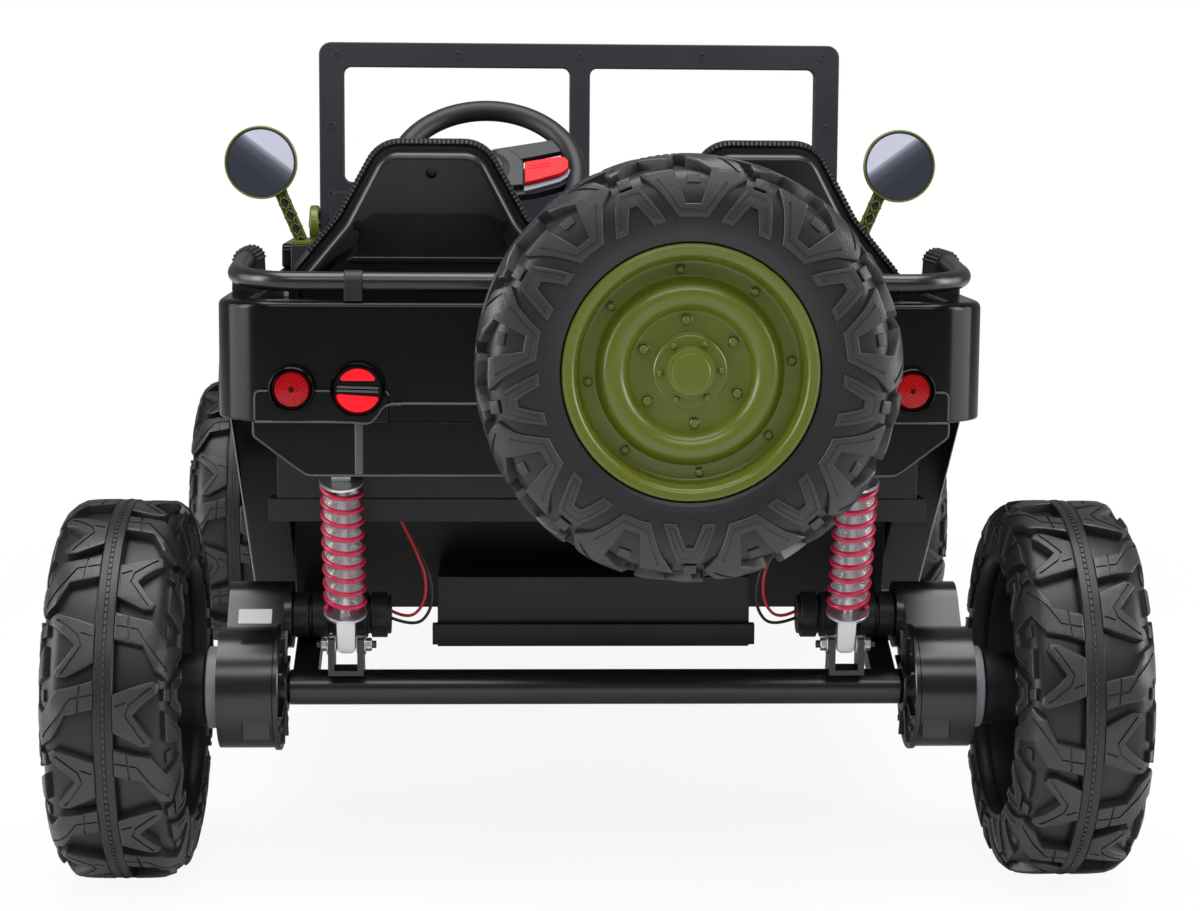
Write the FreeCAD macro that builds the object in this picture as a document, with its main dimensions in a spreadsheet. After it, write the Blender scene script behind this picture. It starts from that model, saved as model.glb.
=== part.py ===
import FreeCAD, Part
import math
import os
import re
import Sketcher

# A child's two-seat electric ride-on off-roader in the style of a 1940s field car.
# Millimetres. +Y is forward, +X is the car's right, +Z is up.
# The origin is on the ground, midway along and across the car.
# "rear" lengths are measured from the rear axle, "front" ones from the front axle.

V = FreeCAD.Vector
doc = FreeCAD.newDocument("ride_on_off_roader")
sheet = doc.addObject("Spreadsheet::Sheet", "sizes")

SIZES = {
    # Layout
    "wheelbase": 928,
    "front_reach": 208,
    "half_track": 369.5,
    "running_gap": 0.05,
    "seat_gap": 0.3,
    "overshoot": 1,
    # Road wheels and tyres
    "tyre_radius": 150,
    "tyre_width": 106,
    "tyre_bore": 100,
    "tyre_bead": 90,
    "tyre_sides": 24,
    "tyre_shoulder": 142,
    "wall_top": 126,
    "wall_foot": 98,
    "tread_half": 41,
    "band_half": 8,
    "bead_lip": 3,
    "lug_count": 9,
    "lug_around": 24,
    "lug_high": 6,
    "lug_low": 0.5,
    "lug_fall": 1,
    "lug_proud": 3,
    "lug_half": 38,
    "lug_shoulder": 124,
    "lug_foot": 112,
    "lug_root": 6,
    "rim_radius": 88,
    "rim_thick": 5,
    "rim_disc": 26,
    "rim_well": 66,
    "rim_set": 5,
    "rim_lip": 4,
    "rim_roll": 9,
    "dome_wide": 8,
    "dome_rise": 4,
    "dish_foot": 14,
    "swell_rise": 8,
    "swell_inner": 18,
    "swell_outer": 10,
    "hub_radius": 30,
    "rear_hub_inner": 60.5,
    "front_hub_inner": 47,
    "hub_gap": 1,
    "hub_cap_radius": 17,
    "hub_cap_out": 44,
    "shaft_radius": 6,
    "shaft_in_hub": 34,
    # Body tub
    "tub_back": 105,
    "tub_front": 215,
    "tub_half": 290,
    "tub_rise": 225,
    "tub_high": 90,
    "tub_wall": 26,
    "tub_corner": 46,
    "tub_floor": 8,
    "tub_edge": 6,
    "tub_notch_half": 168,
    "tub_notch_high": 13,
    "tub_notch_deep": 3,
    # Lamps on the tub
    "plate_outset": 30,
    "plate_wide": 100,
    "plate_high": 24,
    "plate_thick": 4,
    "lamp_up": 25,
    "reflector_outset": 58.5,
    "reflector_radius": 17.8,
    "lamp_pitch": 49,
    "lamp_radius": 20.7,
    "lamp_stand": 11,
    # Lower fascia
    "fascia_outset": 28,
    "fascia_high": 42,
    "fascia_chamfer_x": 40,
    "fascia_chamfer_z": 30,
    "fascia_thick": 8,
    # Floor pan
    "pan_back": 28,
    "pan_wall": 8,
    "pan_rear_deep": 87,
    "pan_deep": 189,
    "pan_slope_top": 125,
    "pan_slope_foot": 150,
    "pan_seat_front": 290,
    "pan_side_high": 124,
    "firewall": 612,
    "flange_lip": 7,
    "flange_out": 1,
    "flange_high": 18,
    # Side panels
    "panel_thick": 39.7,
    "panel_rise": 5,
    "panel_front": 640,
    "panel_foot": 600,
    "arch_top": 6,
    "arch_foot": 198,
    "entry_back": 225,
    "entry_front": 385,
    "entry_lip": 2,
    "entry_round": 22,
    # Cowl, dashboard and bonnet
    "cowl_back": 500,
    "cowl_rise": 80,
    "cowl_high": 23,
    "cowl_round": 8,
    "dash_back": 492,
    "dash_thick": 20,
    "dash_inset": 2,
    "dash_high": 45,
    "bonnet_back_inset": 33,
    "bonnet_front_inset": 55,
    "bonnet_dip": 4,
    "bonnet_fall": 18,
    "bonnet_shoulder": 24,
    # Front fenders
    "fender_inset": 52.5,
    "fender_rise": 1,
    "fender_thick": 10,
    "fender_nose": 164,
    "fender_nose_drop": 40,
    "fender_tail_drop": 76,
    "fender_tail_slope": 30,
    "fender_gap": 1,
    "apron_thick": 8,
    # Grille, headlamps and bumper
    "grille_lap": 65,
    "grille_thick": 12,
    "grille_set": 126,
    "slot_count": 9,
    "slot_width": 13,
    "slot_pitch": 24,
    "slot_foot": 29.7,
    "slot_head": 24,
    "headlamp_inset": 42,
    "headlamp_drop": 54,
    "headlamp_radius": 32,
    "headlamp_stand": 14,
    "headlamp_crown": 2,
    "headlamp_edge": 5,
    "bumper_half": 290,
    "bumper_drop": 14,
    "bumper_high": 42,
    "bumper_thick": 28,
    "bumper_round": 8,
    # Chassis rails
    "rail_inset": 58,
    "rail_width": 25,
    "rail_rise": 22,
    "rail_high": 30,
    # Axles and arms
    "tube_radius": 14,
    "arm_outset": 34,
    "arm_width": 20,
    "arm_half": 9,
    "arm_rise": 54,
    # Rear drive
    "gear_width": 48,
    "gear_radius": 48,
    "gear_bore": 6.2,
    "gear_step": 4,
    "motor_ahead": 45,
    "motor_up": 50,
    "motor_radius": 18.5,
    "motor_long": 78.7,
    "motor_fins": 5,
    "fin_depth": 3,
    "boss_radius": 27,
    "boss_proud": 6,
    "ring_radius": 32.5,
    "ring_stand": 10,
    # Shock absorbers
    "shock_inset": 46,
    "shock_foot_up": 37,
    "shock_foot_behind": 12,
    "shock_lean": 60,
    "shock_head_drop": 23,
    "shock_washer": 17,
    "washer_thick": 3,
    "strap_long": 28,
    "strap_width": 15,
    "strap_thick": 10,
    "strap_end": 6,
    "shock_rod": 4,
    "shock_tube": 11.5,
    "shock_tube_wall": 1.5,
    "coil_radius": 15,
    "coil_wire": 2,
    "coil_turns": 9,
    "bracket_width": 28,
    "bracket_ear": 5,
    "bracket_base": 4,
    "bracket_depth": 24,
    "bracket_lap": 2,
    "bolt_radius": 3,
    "bolt_gap": 0.1,
    "bolt_spread": 23.5,
    # Battery box
    "battery_inset": 37,
    "battery_back": 62,
    "battery_drop": 16,
    "battery_high": 58,
    "tray_proud": 8,
    "tray_lift": 3,
    "tray_high": 17,
    # Front steering
    "kingpin_inset": 79.5,
    "kingpin_radius": 5,
    "kingpin_over": 3,
    "yoke_half": 33,
    "yoke_ear": 8,
    "yoke_width": 26,
    "yoke_web": 13,
    "knuckle_block": 18,
    "knuckle_gap": 1,
    "steer_arm": 60,
    "steer_arm_thick": 6,
    "steer_arm_width": 16,
    "tie_pin_radius": 3,
    "tie_pin_long": 13,
    "tie_rod_radius": 5,
    "tie_eye_radius": 9,
    "tie_eye_half": 6,
    "tongue_width": 18,
    "tongue_thick": 8,
    # Steering wheel
    "column_room": 25,
    "wheel_ahead": 330,
    "wheel_rise": 94,
    "wheel_tilt": 45,
    "wheel_radius": 82,
    "wheel_rim": 9.5,
    "wheel_hub_radius": 26,
    "wheel_hub_thick": 24,
    "spoke_width": 24,
    "spoke_thick": 8,
    "horn_long": 36,
    "horn_width": 18,
    "horn_thick": 5,
    "horn_x": 47,
    "column_radius": 8,
    "column_gap": 0.3,
    "crank_long": 26,
    "crank_width": 10,
    "crank_up": 8.35,
    # Windscreen
    "screen_ahead": 540,
    "screen_inset": 35,
    "screen_gap": 8,
    "screen_high": 187,
    "screen_bar": 24,
    "screen_sill": 51,
    "screen_post": 20,
    "screen_thick": 16,
    "screen_round": 12,
    "hinge_up": 10,
    "hinge_pin": 4,
    "hinge_pin_in": 12,
    "hinge_disc": 18,
    "hinge_disc_thick": 9,
    "hinge_foot": 24,
    # Mirrors
    "mirror_ahead": 470,
    "mirror_inset": 22,
    "mirror_post_width": 20,
    "mirror_post_proud": 1,
    "mirror_foot": 4,
    "mirror_out": 38,
    "mirror_up": 79,
    "mirror_radius": 35,
    "mirror_dome": 24.5,
    "mirror_thick": 12,
    "mirror_glass": 31.5,
    "mirror_glass_thick": 1.5,
    "stalk_radius": 5.5,
    "stalk_in": 17,
    "stalk_under": 26,
    # Grab rail
    "grab_radius": 7.5,
    "grab_inset": 13.5,
    "grab_back": 95,
    "grab_rise": 14,
    "grab_end": 12,
    "grab_end_rise": 24,
    "grab_corner": 48,
    "clip_inset": 90.5,
    "clip_width": 14,
    "clip_half": 6,
    "grip_long": 58,
    "grip_width": 22,
    "grip_high": 34,
    "grip_round": 10,
    # Seats
    "seat_outer_room": 16.5,
    "seat_inner_room": 15.5,
    "seat_back": 46,
    "seat_depth": 236,
    "seat_base_thick": 17,
    "seat_shell_thick": 30,
    "seat_high": 200,
    "seat_crown": 43,
    "seat_neck": 139,
    "seat_neck_half": 77,
    "seat_waist": 92,
    "seat_root": 10,
    "seat_top_round": 30,
    "seat_tilt": 6,
    "bolster_thick": 12,
    "bolster_high": 80,
    "bolster_mid": 60,
    "bolster_mid_along": 60,
    "bolster_low": 34,
    "bolster_low_along": 165,
    "bolster_long": 189,
    "cushion_thick": 26,
    "cushion_set": 2,
    "back_pad_thick": 18,
    "back_pad_up": 6,
    "pad_margin": 14,
    "pad_round": 9,
    # Spare wheel
    "spare_x": 54.8,
    "spare_up": 52.4,
    "spare_out": 106,
    "spare_boss": 24,
    "spare_plate": 46,
    "spare_plate_thick": 6,
    "spare_plate_gap": 2,
    # Motor leads
    "lead_radius": 1.3,
}

# Places worked out from the sizes above
DERIVED = {
    "wheel_out": "tyre_width / 2",
    "rear_reach": "tub_back + spare_out + wheel_out",
    "rear_y": "rear_reach - (rear_reach + wheelbase + front_reach) / 2",
    "front_y": "rear_y + wheelbase",
    "axle_z": "tyre_radius",
    "tub_low": "axle_z + tub_rise",
    "back_wall": "rear_y - tub_back",
    "pan_rear": "rear_y - pan_back",
    "firewall_y": "rear_y + firewall",
    "tub_top": "tub_low + tub_high",
    "deck_z": "tub_low + tub_floor",
    "plate_outer": "tub_half - plate_outset",
    "plate_inner": "plate_outer - plate_wide",
    "lamp_z": "tub_low + lamp_up",
    "reflector_x": "tub_half - reflector_outset",
    "lamp_x": "reflector_x - lamp_pitch",
    "fascia_half": "tub_half - fascia_outset",
    "fascia_low": "tub_low - fascia_high",
    "pan_half": "tub_half - panel_thick - seat_gap",
    "pan_rear_low": "tub_low - pan_rear_deep",
    "pan_low": "tub_low - pan_deep",
    "pan_side_top": "pan_low + pan_side_high",
    "flange_half": "pan_half + flange_lip",
    "panel_bottom": "pan_low + panel_rise",
    "entry_low": "pan_side_top + entry_lip",
    "cowl_low": "tub_low + cowl_rise",
    "cowl_top": "cowl_low + cowl_high",
    "dash_half": "pan_half - dash_inset",
    "dash_low": "cowl_low - dash_high",
    "fender_top": "tub_low + fender_rise",
    "fender_inner": "rail_outer",
    "fender_outer": "half_track + wheel_out - fender_inset",
    "fender_nose_low": "fender_top - fender_nose_drop",
    "fender_tail_low": "fender_top - fender_tail_drop",
    "bonnet_low": "fender_top + seat_gap",
    "bonnet_back_half": "grille_half - bonnet_back_inset",
    "bonnet_front_half": "grille_half - bonnet_front_inset",
    "bonnet_back_top": "cowl_top - bonnet_dip",
    "bonnet_front_top": "bonnet_back_top - bonnet_fall",
    "grille_y": "front_y + grille_set",
    "grille_half": "fender_inner + grille_lap",
    "grille_low": "rail_low + rail_high + seat_gap",
    "grille_top": "bonnet_front_top",
    "slot_low": "grille_low + slot_foot",
    "slot_high": "grille_top - slot_head",
    "headlamp_x": "grille_half - headlamp_inset",
    "headlamp_z": "grille_top - headlamp_drop",
    "bumper_y": "front_y + front_reach - bumper_thick",
    "bumper_low": "rail_low - bumper_drop",
    "ring_outer": "half_track - rear_hub_inner - hub_gap",
    "gear_outer": "ring_outer - ring_stand",
    "gear_inner": "gear_outer - gear_width",
    "boss_inner": "gear_inner - boss_proud",
    "motor_inner": "boss_inner - seat_gap - motor_long",
    "motor_y": "rear_y + motor_ahead",
    "motor_z": "axle_z + motor_up",
    "shock_x": "boss_inner - shock_inset",
    "shock_foot_z": "axle_z + shock_foot_up",
    "shock_head_z": "tub_low - shock_head_drop",
    "shock_rise": "shock_head_z - shock_foot_z",
    "arm_x": "shock_x + arm_outset",
    "rail_outer": "shock_x - rail_inset",
    "rail_inner": "rail_outer - rail_width",
    "rail_low": "pan_low + rail_rise",
    "battery_half": "motor_inner - battery_inset",
    "battery_low": "pan_low - battery_drop",
    "battery_top": "battery_low + battery_high",
    "kingpin_x": "half_track - kingpin_inset",
    "tie_z": "axle_z + yoke_half + knuckle_gap + steer_arm_thick + knuckle_gap + tie_eye_half",
    "tie_y": "front_y - steer_arm",
    "seat_y": "rear_y + seat_back",
    "seat_half": "(tub_half - tub_wall - seat_outer_room - seat_inner_room) / 2",
    "seat_x": "seat_inner_room + seat_half",
    "seat_top": "deck_z + seat_high",
    "seat_waist_z": "deck_z + seat_waist",
    "seat_neck_z": "deck_z + seat_neck",
    "wheel_x": "column_room - rail_inner",
    "wheel_y": "rear_y + wheel_ahead",
    "wheel_z": "cowl_low + wheel_rise",
    "crank_z": "tie_z + crank_up",
    "screen_y": "rear_y + screen_ahead",
    "screen_half": "tub_half - screen_inset",
    "screen_low": "cowl_top + screen_gap",
    "screen_top": "screen_low + screen_high",
    "hinge_z": "screen_low + hinge_up",
    "mirror_y": "rear_y + mirror_ahead",
    "mirror_post_x": "tub_half - mirror_inset",
    "mirror_x": "mirror_post_x + mirror_out",
    "mirror_z": "cowl_top + mirror_up",
    "grab_half": "tub_half - grab_inset",
    "grab_z": "tub_top + grab_rise",
    "grab_end_z": "tub_top + grab_end_rise",
    "clip_x": "grab_half - clip_inset",
    "spare_y": "back_wall - spare_out",
    "spare_z": "tub_low + spare_up",
}

PARTS = []


def fill_sheet():
    for row, (name, size) in enumerate(SIZES.items(), start=1):
        sheet.set(f"A{row}", str(size))
        sheet.setAlias(f"A{row}", name)
    doc.recompute()


fill_sheet()
probe = doc.addObject("App::FeaturePython", "probe")


def tied(text):
    """Turns size names into references to their cells, and derived names into sums."""
    def swap(match):
        word = match.group(0)
        if word in DERIVED:
            return "(" + tied(DERIVED[word]) + ")"
        if word in SIZES:
            return "sizes." + word
        return word
    return re.sub(r"[a-z_]+", swap, str(text))


def value(text):
    return float(probe.evalExpression(tied(text)))


def point(x, y, z):
    return V(value(x), value(y), value(z))


def keep(name, thing):
    """Makes this object a sub-part, written to a file of its own."""
    thing.Label = name
    PARTS.append((name, thing))
    return thing


def place(thing, x="0", y="0", z="0"):
    for axis, text in (("x", x), ("y", y), ("z", z)):
        thing.setExpression("Placement.Base." + axis, tied(text))


def box(name, x, y, z):
    """A block between two places on each axis."""
    solid = doc.addObject("Part::Box", name)
    for side, (low, high) in (("Length", x), ("Width", y), ("Height", z)):
        solid.setExpression(side, tied(f"({high}) - ({low})"))
    place(solid, x[0], y[0], z[0])
    return solid


TURNS = {
    "x": FreeCAD.Rotation(V(0, 1, 0), 90),
    "-x": FreeCAD.Rotation(V(0, 1, 0), -90),
    "y": FreeCAD.Rotation(V(1, 0, 0), -90),
    "-y": FreeCAD.Rotation(V(1, 0, 0), 90),
    "z": FreeCAD.Rotation(),
}


def rod(name, radius, length, direction, x, y, z):
    """A round bar that starts at a place and runs along an axis."""
    solid = doc.addObject("Part::Cylinder", name)
    solid.setExpression("Radius", tied(radius))
    solid.setExpression("Height", tied(length))
    solid.Placement = FreeCAD.Placement(V(), TURNS[direction])
    place(solid, x, y, z)
    return solid


def slanted_rod(name, radius, start, end):
    """A round bar between two points."""
    solid = doc.addObject("Part::Cylinder", name)
    run = end - start
    solid.setExpression("Radius", tied(radius))
    solid.Height = run.Length
    solid.Placement = FreeCAD.Placement(start, FreeCAD.Rotation(V(0, 0, 1), run))
    return solid


def plane(body, role):
    return [feature for feature in body.Origin.OriginFeatures if feature.Role == role][0]


def outline(body, role, points, offset="0"):
    """A closed sketch whose corners are tied to the sheet."""
    sketch = body.newObject("Sketcher::SketchObject", body.Name + "_sketch")
    sketch.AttachmentSupport = [(plane(body, role), "")]
    sketch.MapMode = "FlatFace"
    sketch.setExpression("AttachmentOffset.Base.z", tied(offset))
    corners = [V(value(u), value(v), 0) for u, v in points]
    count = len(corners)
    for index in range(count):
        sketch.addGeometry(Part.LineSegment(corners[index], corners[(index + 1) % count]), False)
    for index in range(count):
        sketch.addConstraint(Sketcher.Constraint("Coincident", index, 2, (index + 1) % count, 1))
    for index, (u, v) in enumerate(points):
        for kind, text, size in (("DistanceX", u, corners[index].x), ("DistanceY", v, corners[index].y)):
            number = sketch.addConstraint(Sketcher.Constraint(kind, -1, 1, index, 1, size))
            sketch.setExpression(f"Constraints[{number}]", tied(text))
    return sketch


def round_edges(body, base, radius, chosen, kind="Fillet"):
    """Rounds or bevels the edges of a feature for which chosen(edge) is true."""
    names = []
    for number, edge in enumerate(base.Shape.Edges, start=1):
        if chosen(edge):
            names.append(f"Edge{number}")
    feature = body.newObject("PartDesign::" + kind, body.Name + "_" + kind.lower())
    feature.Base = (base, names)
    feature.setExpression("Radius" if kind == "Fillet" else "Size", tied(radius))
    doc.recompute()
    return feature


# For each sketch plane: which way it faces, and its two axes
PLANES = {
    "XY_Plane": (V(0, 0, 1), "x", "y"),
    "XZ_Plane": (V(0, -1, 0), "x", "z"),
    "YZ_Plane": (V(1, 0, 0), "y", "z"),
}


def prism(name, role, low, high, points, rounds=None):
    """An outline pulled straight out between two places. rounds gives a radius to listed corners."""
    body = doc.addObject("PartDesign::Body", name)
    offset = f"-({high})" if role == "XZ_Plane" else low
    sketch = outline(body, role, points, offset)
    pad = body.newObject("PartDesign::Pad", name + "_pad")
    pad.Profile = sketch
    pad.setExpression("Length", tied(f"({high}) - ({low})"))
    doc.recompute()
    normal, first, second = PLANES[role]
    tip = pad
    for radius, corners in (rounds or {}).items():
        places = [(value(points[index][0]), value(points[index][1])) for index in corners]

        def chosen(edge):
            if edge.Curve.TypeId != "Part::GeomLine":
                return False
            if abs(edge.tangentAt(edge.FirstParameter).dot(normal)) < 0.99:
                return False
            middle = edge.CenterOfMass
            spot = (getattr(middle, first), getattr(middle, second))
            return any(math.dist(spot, corner) < 0.01 for corner in places)

        tip = round_edges(body, tip, radius, chosen)
    return body


def turned(name, points, direction, x, y, z):
    """A profile of (along, radius) places turned about an axis."""
    body = doc.addObject("PartDesign::Body", name)
    sketch = outline(body, "XY_Plane", points)
    turn = body.newObject("PartDesign::Revolution", name + "_turn")
    turn.Profile = sketch
    turn.ReferenceAxis = (sketch, ["H_Axis"])
    turn.Angle = 360
    about = {
        "x": FreeCAD.Rotation(),
        "-x": FreeCAD.Rotation(V(0, 0, 1), 180),
        "-y": FreeCAD.Rotation(V(0, 0, 1), -90),
        "y": FreeCAD.Rotation(V(0, 0, 1), 90),
    }
    body.Placement = FreeCAD.Placement(V(), about[direction])
    place(body, x, y, z)
    return body


def join(name, solids):
    """One solid out of pieces that meet."""
    fused = doc.addObject("Part::MultiFuse", name)
    fused.Shapes = solids
    fused.Refine = True
    return fused


def cut(name, base, tools):
    tool = tools[0]
    if len(tools) > 1:
        tool = doc.addObject("Part::MultiFuse", name + "_tools")
        tool.Shapes = tools
    result = doc.addObject("Part::Cut", name)
    result.Base = base
    result.Tool = tool
    return result


def mirrored(thing):
    """The same piece on the car's other side."""
    copy = doc.addObject("Part::Mirroring", thing.Name + "_mirrored")
    copy.Source = thing
    copy.Normal = V(1, 0, 0)
    copy.Base = V()
    return copy


def group(name, solids):
    """Like pieces of one node, which don't touch each other."""
    compound = doc.addObject("Part::Compound", name)
    compound.Links = solids
    return compound


def pair(name, solid):
    return group(name, [solid, mirrored(solid)])


def shifted(thing, suffix, x="0", y="0", z="0"):
    """A copy of a piece, moved."""
    copy = doc.addObject("Part::Compound", thing.Name + suffix)
    copy.Links = [thing]
    place(copy, x, y, z)
    return copy


def make_tub():
    """The open rear tub: one tray with rounded corners, a notch in its skirt and lamp plates."""
    body = doc.addObject("PartDesign::Body", "tub_shell")
    front = "rear_y + tub_front"
    sketch = outline(body, "XY_Plane", [
        ("-tub_half", front), ("-tub_half", "back_wall"),
        ("tub_half", "back_wall"), ("tub_half", front)], "tub_low")
    pad = body.newObject("PartDesign::Pad", "tub_pad")
    pad.Profile = sketch
    pad.setExpression("Length", tied("tub_top - tub_low"))
    doc.recompute()
    back = value("back_wall")

    def corner(edge):
        return edge.BoundBox.ZLength > 1 and edge.CenterOfMass.y < back + 1

    tip = round_edges(body, pad, "tub_corner", corner)
    top = value("tub_top")

    def brim(edge):
        return edge.BoundBox.ZMin > top - 0.01 and edge.CenterOfMass.y < value(front) - 0.01

    tip = round_edges(body, tip, "tub_edge", brim)
    hollow = prism("tub_hollow", "XY_Plane", "deck_z", "tub_top + tub_wall", [
        ("-tub_half + tub_wall", front + " + tub_wall"), ("-tub_half + tub_wall", "back_wall + tub_wall"),
        ("tub_half - tub_wall", "back_wall + tub_wall"), ("tub_half - tub_wall", front + " + tub_wall")],
        {"tub_corner - tub_wall": [1, 2]})
    notch = prism("tub_notch", "XZ_Plane", "back_wall - tub_notch_deep", "back_wall + tub_notch_deep", [
        ("-tub_notch_half - tub_notch_high", "tub_low - tub_notch_high"),
        ("tub_notch_half + tub_notch_high", "tub_low - tub_notch_high"),
        ("tub_notch_half - tub_notch_high / 2", "tub_low + tub_notch_high"),
        ("-tub_notch_half + tub_notch_high / 2", "tub_low + tub_notch_high")])
    shell = cut("tub_open", body, [hollow, notch])
    plate = prism("lamp_plate", "XZ_Plane", "back_wall - plate_thick", "back_wall + tub_notch_deep", [
        ("plate_inner", "tub_low"), ("plate_outer - tub_edge", "tub_low"),
        ("plate_outer - tub_edge", "tub_low + plate_high"), ("plate_inner", "tub_low + plate_high")],
        {"tub_edge": [2, 3]})
    whole = join("tub_whole", [shell, plate, mirrored(plate)])
    lamps = []
    for name, x, radius in (("reflector", "reflector_x", "reflector_radius"), ("lamp", "lamp_x", "lamp_radius")):
        for side in ("-1", "1"):
            lamps.append(rod(name + "_seat", radius + " + seat_gap", "lamp_stand", "-y",
                             f"{side} * {x}", "back_wall", "lamp_z"))
    keep("rear_tub", cut("rear_tub_cut", whole, lamps))


def make_rear_lamps():
    lamps = []
    for name, x, radius in (("reflector", "reflector_x", "reflector_radius"), ("lamp", "lamp_x", "lamp_radius")):
        lamp = rod(name, radius, "lamp_stand", "-y", x, "back_wall", "lamp_z")
        lamps.extend([lamp, mirrored(lamp)])
    keep("rear_lamps", group("rear_lamp_set", lamps))


def make_fascia():
    top = "tub_low"
    keep("rear_fascia", prism("fascia", "XZ_Plane", "back_wall + tub_notch_deep",
                              "back_wall + tub_notch_deep + fascia_thick", [
        ("-fascia_half", top), ("-fascia_half", "fascia_low + fascia_chamfer_z"),
        ("-fascia_half + fascia_chamfer_x", "fascia_low"), ("fascia_half - fascia_chamfer_x", "fascia_low"),
        ("fascia_half", "fascia_low + fascia_chamfer_z"), ("fascia_half", top)]))


def column_directions():
    """Down the steering column, and down its crank."""
    tilt = math.radians(value("wheel_tilt"))
    return V(0, math.cos(tilt), -math.sin(tilt)), V(0, -math.sin(tilt), -math.cos(tilt))


def crank_foot():
    """The lower end of the crank on the steering column, just over the tie rod's tongue."""
    down, back = column_directions()
    top = point("wheel_x", "wheel_y", "wheel_z")
    drop = value("wheel_z - crank_z") + back.z * value("crank_long")
    return top + down * (-drop / down.z) + back * value("crank_long")


def column_end():
    return crank_foot() - column_directions()[1] * value("crank_long")


def column_line(name, radius):
    """A bar along the steering column, from the wheel's hub downwards and forwards."""
    down = column_directions()[0]
    start = point("wheel_x", "wheel_y", "wheel_z") + down * (value("wheel_hub_thick") / 2)
    return slanted_rod(name, radius, start, column_end())


def make_floor_pan():
    """Seat box, footwell and firewall in one pan, with the flange that shows under the tub."""
    rear = "pan_rear"
    seat_front = "rear_y + pan_seat_front"
    deck_end = "rear_y + tub_front + seat_gap"
    block = prism("pan_block", "YZ_Plane", "-pan_half", "pan_half", [
        (rear, "tub_low"), (rear, "pan_rear_low"),
        ("rear_y + pan_slope_top", "pan_rear_low"), ("rear_y + pan_slope_foot", "pan_low"),
        ("firewall_y", "pan_low"), ("firewall_y", "cowl_low"),
        ("firewall_y - pan_wall", "cowl_low"), ("firewall_y - pan_wall", "pan_side_top"),
        (seat_front, "pan_side_top"), (seat_front, "deck_z"), (deck_end, "deck_z"), (deck_end, "tub_low")])
    flange = box("pan_flange", ("-flange_half", "flange_half"), ("pan_rear - flange_out", rear),
                 ("pan_rear_low", "pan_rear_low + flange_high"))
    ledge = box("pan_ledge", ("-flange_half", "flange_half"), (rear, "rear_y - arch_top"),
                ("pan_rear_low", "pan_rear_low + flange_high"))
    inner = ("-pan_half + pan_wall", "pan_half - pan_wall")
    foot = box("footwell", inner, (seat_front, "firewall_y - pan_wall"),
               ("pan_low + pan_wall", "cowl_low"))
    under = box("seat_box_hollow", inner, (rear + " + pan_wall", "rear_y + pan_slope_top - pan_wall"),
                ("pan_rear_low - pan_wall", "tub_low - pan_wall"))
    bore = column_line("column_bore", "column_radius + column_gap")
    keep("floor_pan", cut("pan_open", join("pan_whole", [block, flange, ledge]), [foot, under, bore]))


def make_side_panels():
    """Flat body sides: the slanted wheel arch behind, the low entry, and the cowl's side."""
    panel = prism("side_panel", "YZ_Plane", "pan_half + seat_gap", "tub_half", [
        ("rear_y - arch_top", "tub_low"), ("rear_y + arch_foot", "panel_bottom"),
        ("rear_y + panel_foot", "panel_bottom"),
        ("rear_y + panel_front", "fender_tail_low"), ("rear_y + panel_front", "cowl_low"),
        ("rear_y + entry_front + entry_round * 2", "cowl_low"),
        ("rear_y + entry_front + entry_round", "cowl_low - entry_round"),
        ("rear_y + entry_front", "entry_low"), ("rear_y + entry_back", "entry_low"),
        ("rear_y + tub_front", "tub_low")],
        {"entry_round": [7, 8]})
    keep("side_panels", pair("side_panel_pair", panel))


def make_cowl():
    keep("cowl", prism("cowl_block", "YZ_Plane", "-tub_half", "tub_half", [
        ("rear_y + cowl_back", "cowl_low"), ("rear_y + panel_front", "cowl_low"),
        ("rear_y + panel_front", "cowl_top"), ("rear_y + cowl_back", "cowl_top")],
        {"cowl_round": [2, 3]}))
    keep("dashboard", box("dash_panel", ("-dash_half", "dash_half"),
                          ("rear_y + dash_back", "rear_y + dash_back + dash_thick"),
                          ("dash_low", "cowl_low")))


def make_bonnet():
    """A bonnet that narrows and drops towards the grille."""
    body = doc.addObject("PartDesign::Body", "bonnet_body")
    sections = []
    for half, top, along in (("bonnet_back_half", "bonnet_back_top", "rear_y + panel_front"),
                             ("bonnet_front_half", "bonnet_front_top", "grille_y")):
        sections.append(outline(body, "XZ_Plane", [
            ("-" + half, "bonnet_low"), (half, "bonnet_low"), (half, top + " - bonnet_shoulder"),
            (half + " - bonnet_shoulder", top), ("-" + half + " + bonnet_shoulder", top),
            ("-" + half, top + " - bonnet_shoulder")], f"-({along})"))
    loft = body.newObject("PartDesign::AdditiveLoft", "bonnet_loft")
    loft.Profile = sections[0]
    loft.Sections = [sections[1]]
    loft.Ruled = True
    keep("bonnet", body)


def make_fenders():
    """Flat-topped front fenders with a bent nose, a sloped tail and an inner apron."""
    nose = "front_y + fender_nose"
    tail = "rear_y + panel_front + fender_gap"
    inner_top = "fender_top - fender_thick"
    sheet_metal = prism("fender_sheet", "YZ_Plane", "fender_inner", "fender_outer", [
        (nose, "fender_nose_low"), (nose, inner_top), (nose + " - fender_thick", "fender_top"),
        (tail + " + fender_tail_slope", "fender_top"), (tail, "fender_tail_low"),
        (tail + " + fender_thick", "fender_tail_low"),
        (tail + " + fender_tail_slope + fender_thick", inner_top),
        (nose + " - fender_thick * 2", inner_top), (nose + " - fender_thick", "fender_nose_low")])
    apron = box("fender_apron", ("fender_inner", "fender_inner + apron_thick"),
                (tail + " + fender_tail_slope + fender_thick", "grille_y"), ("rail_low", inner_top))
    gap = box("grille_room", ("fender_inner - overshoot", "grille_half + overshoot"),
              ("grille_y - seat_gap", nose + " + overshoot"), ("rail_low", "fender_top + overshoot"))
    fender = cut("fender_trimmed", join("fender_whole", [sheet_metal, apron]), [gap])
    keep("front_fenders", pair("fender_pair", fender))


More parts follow.
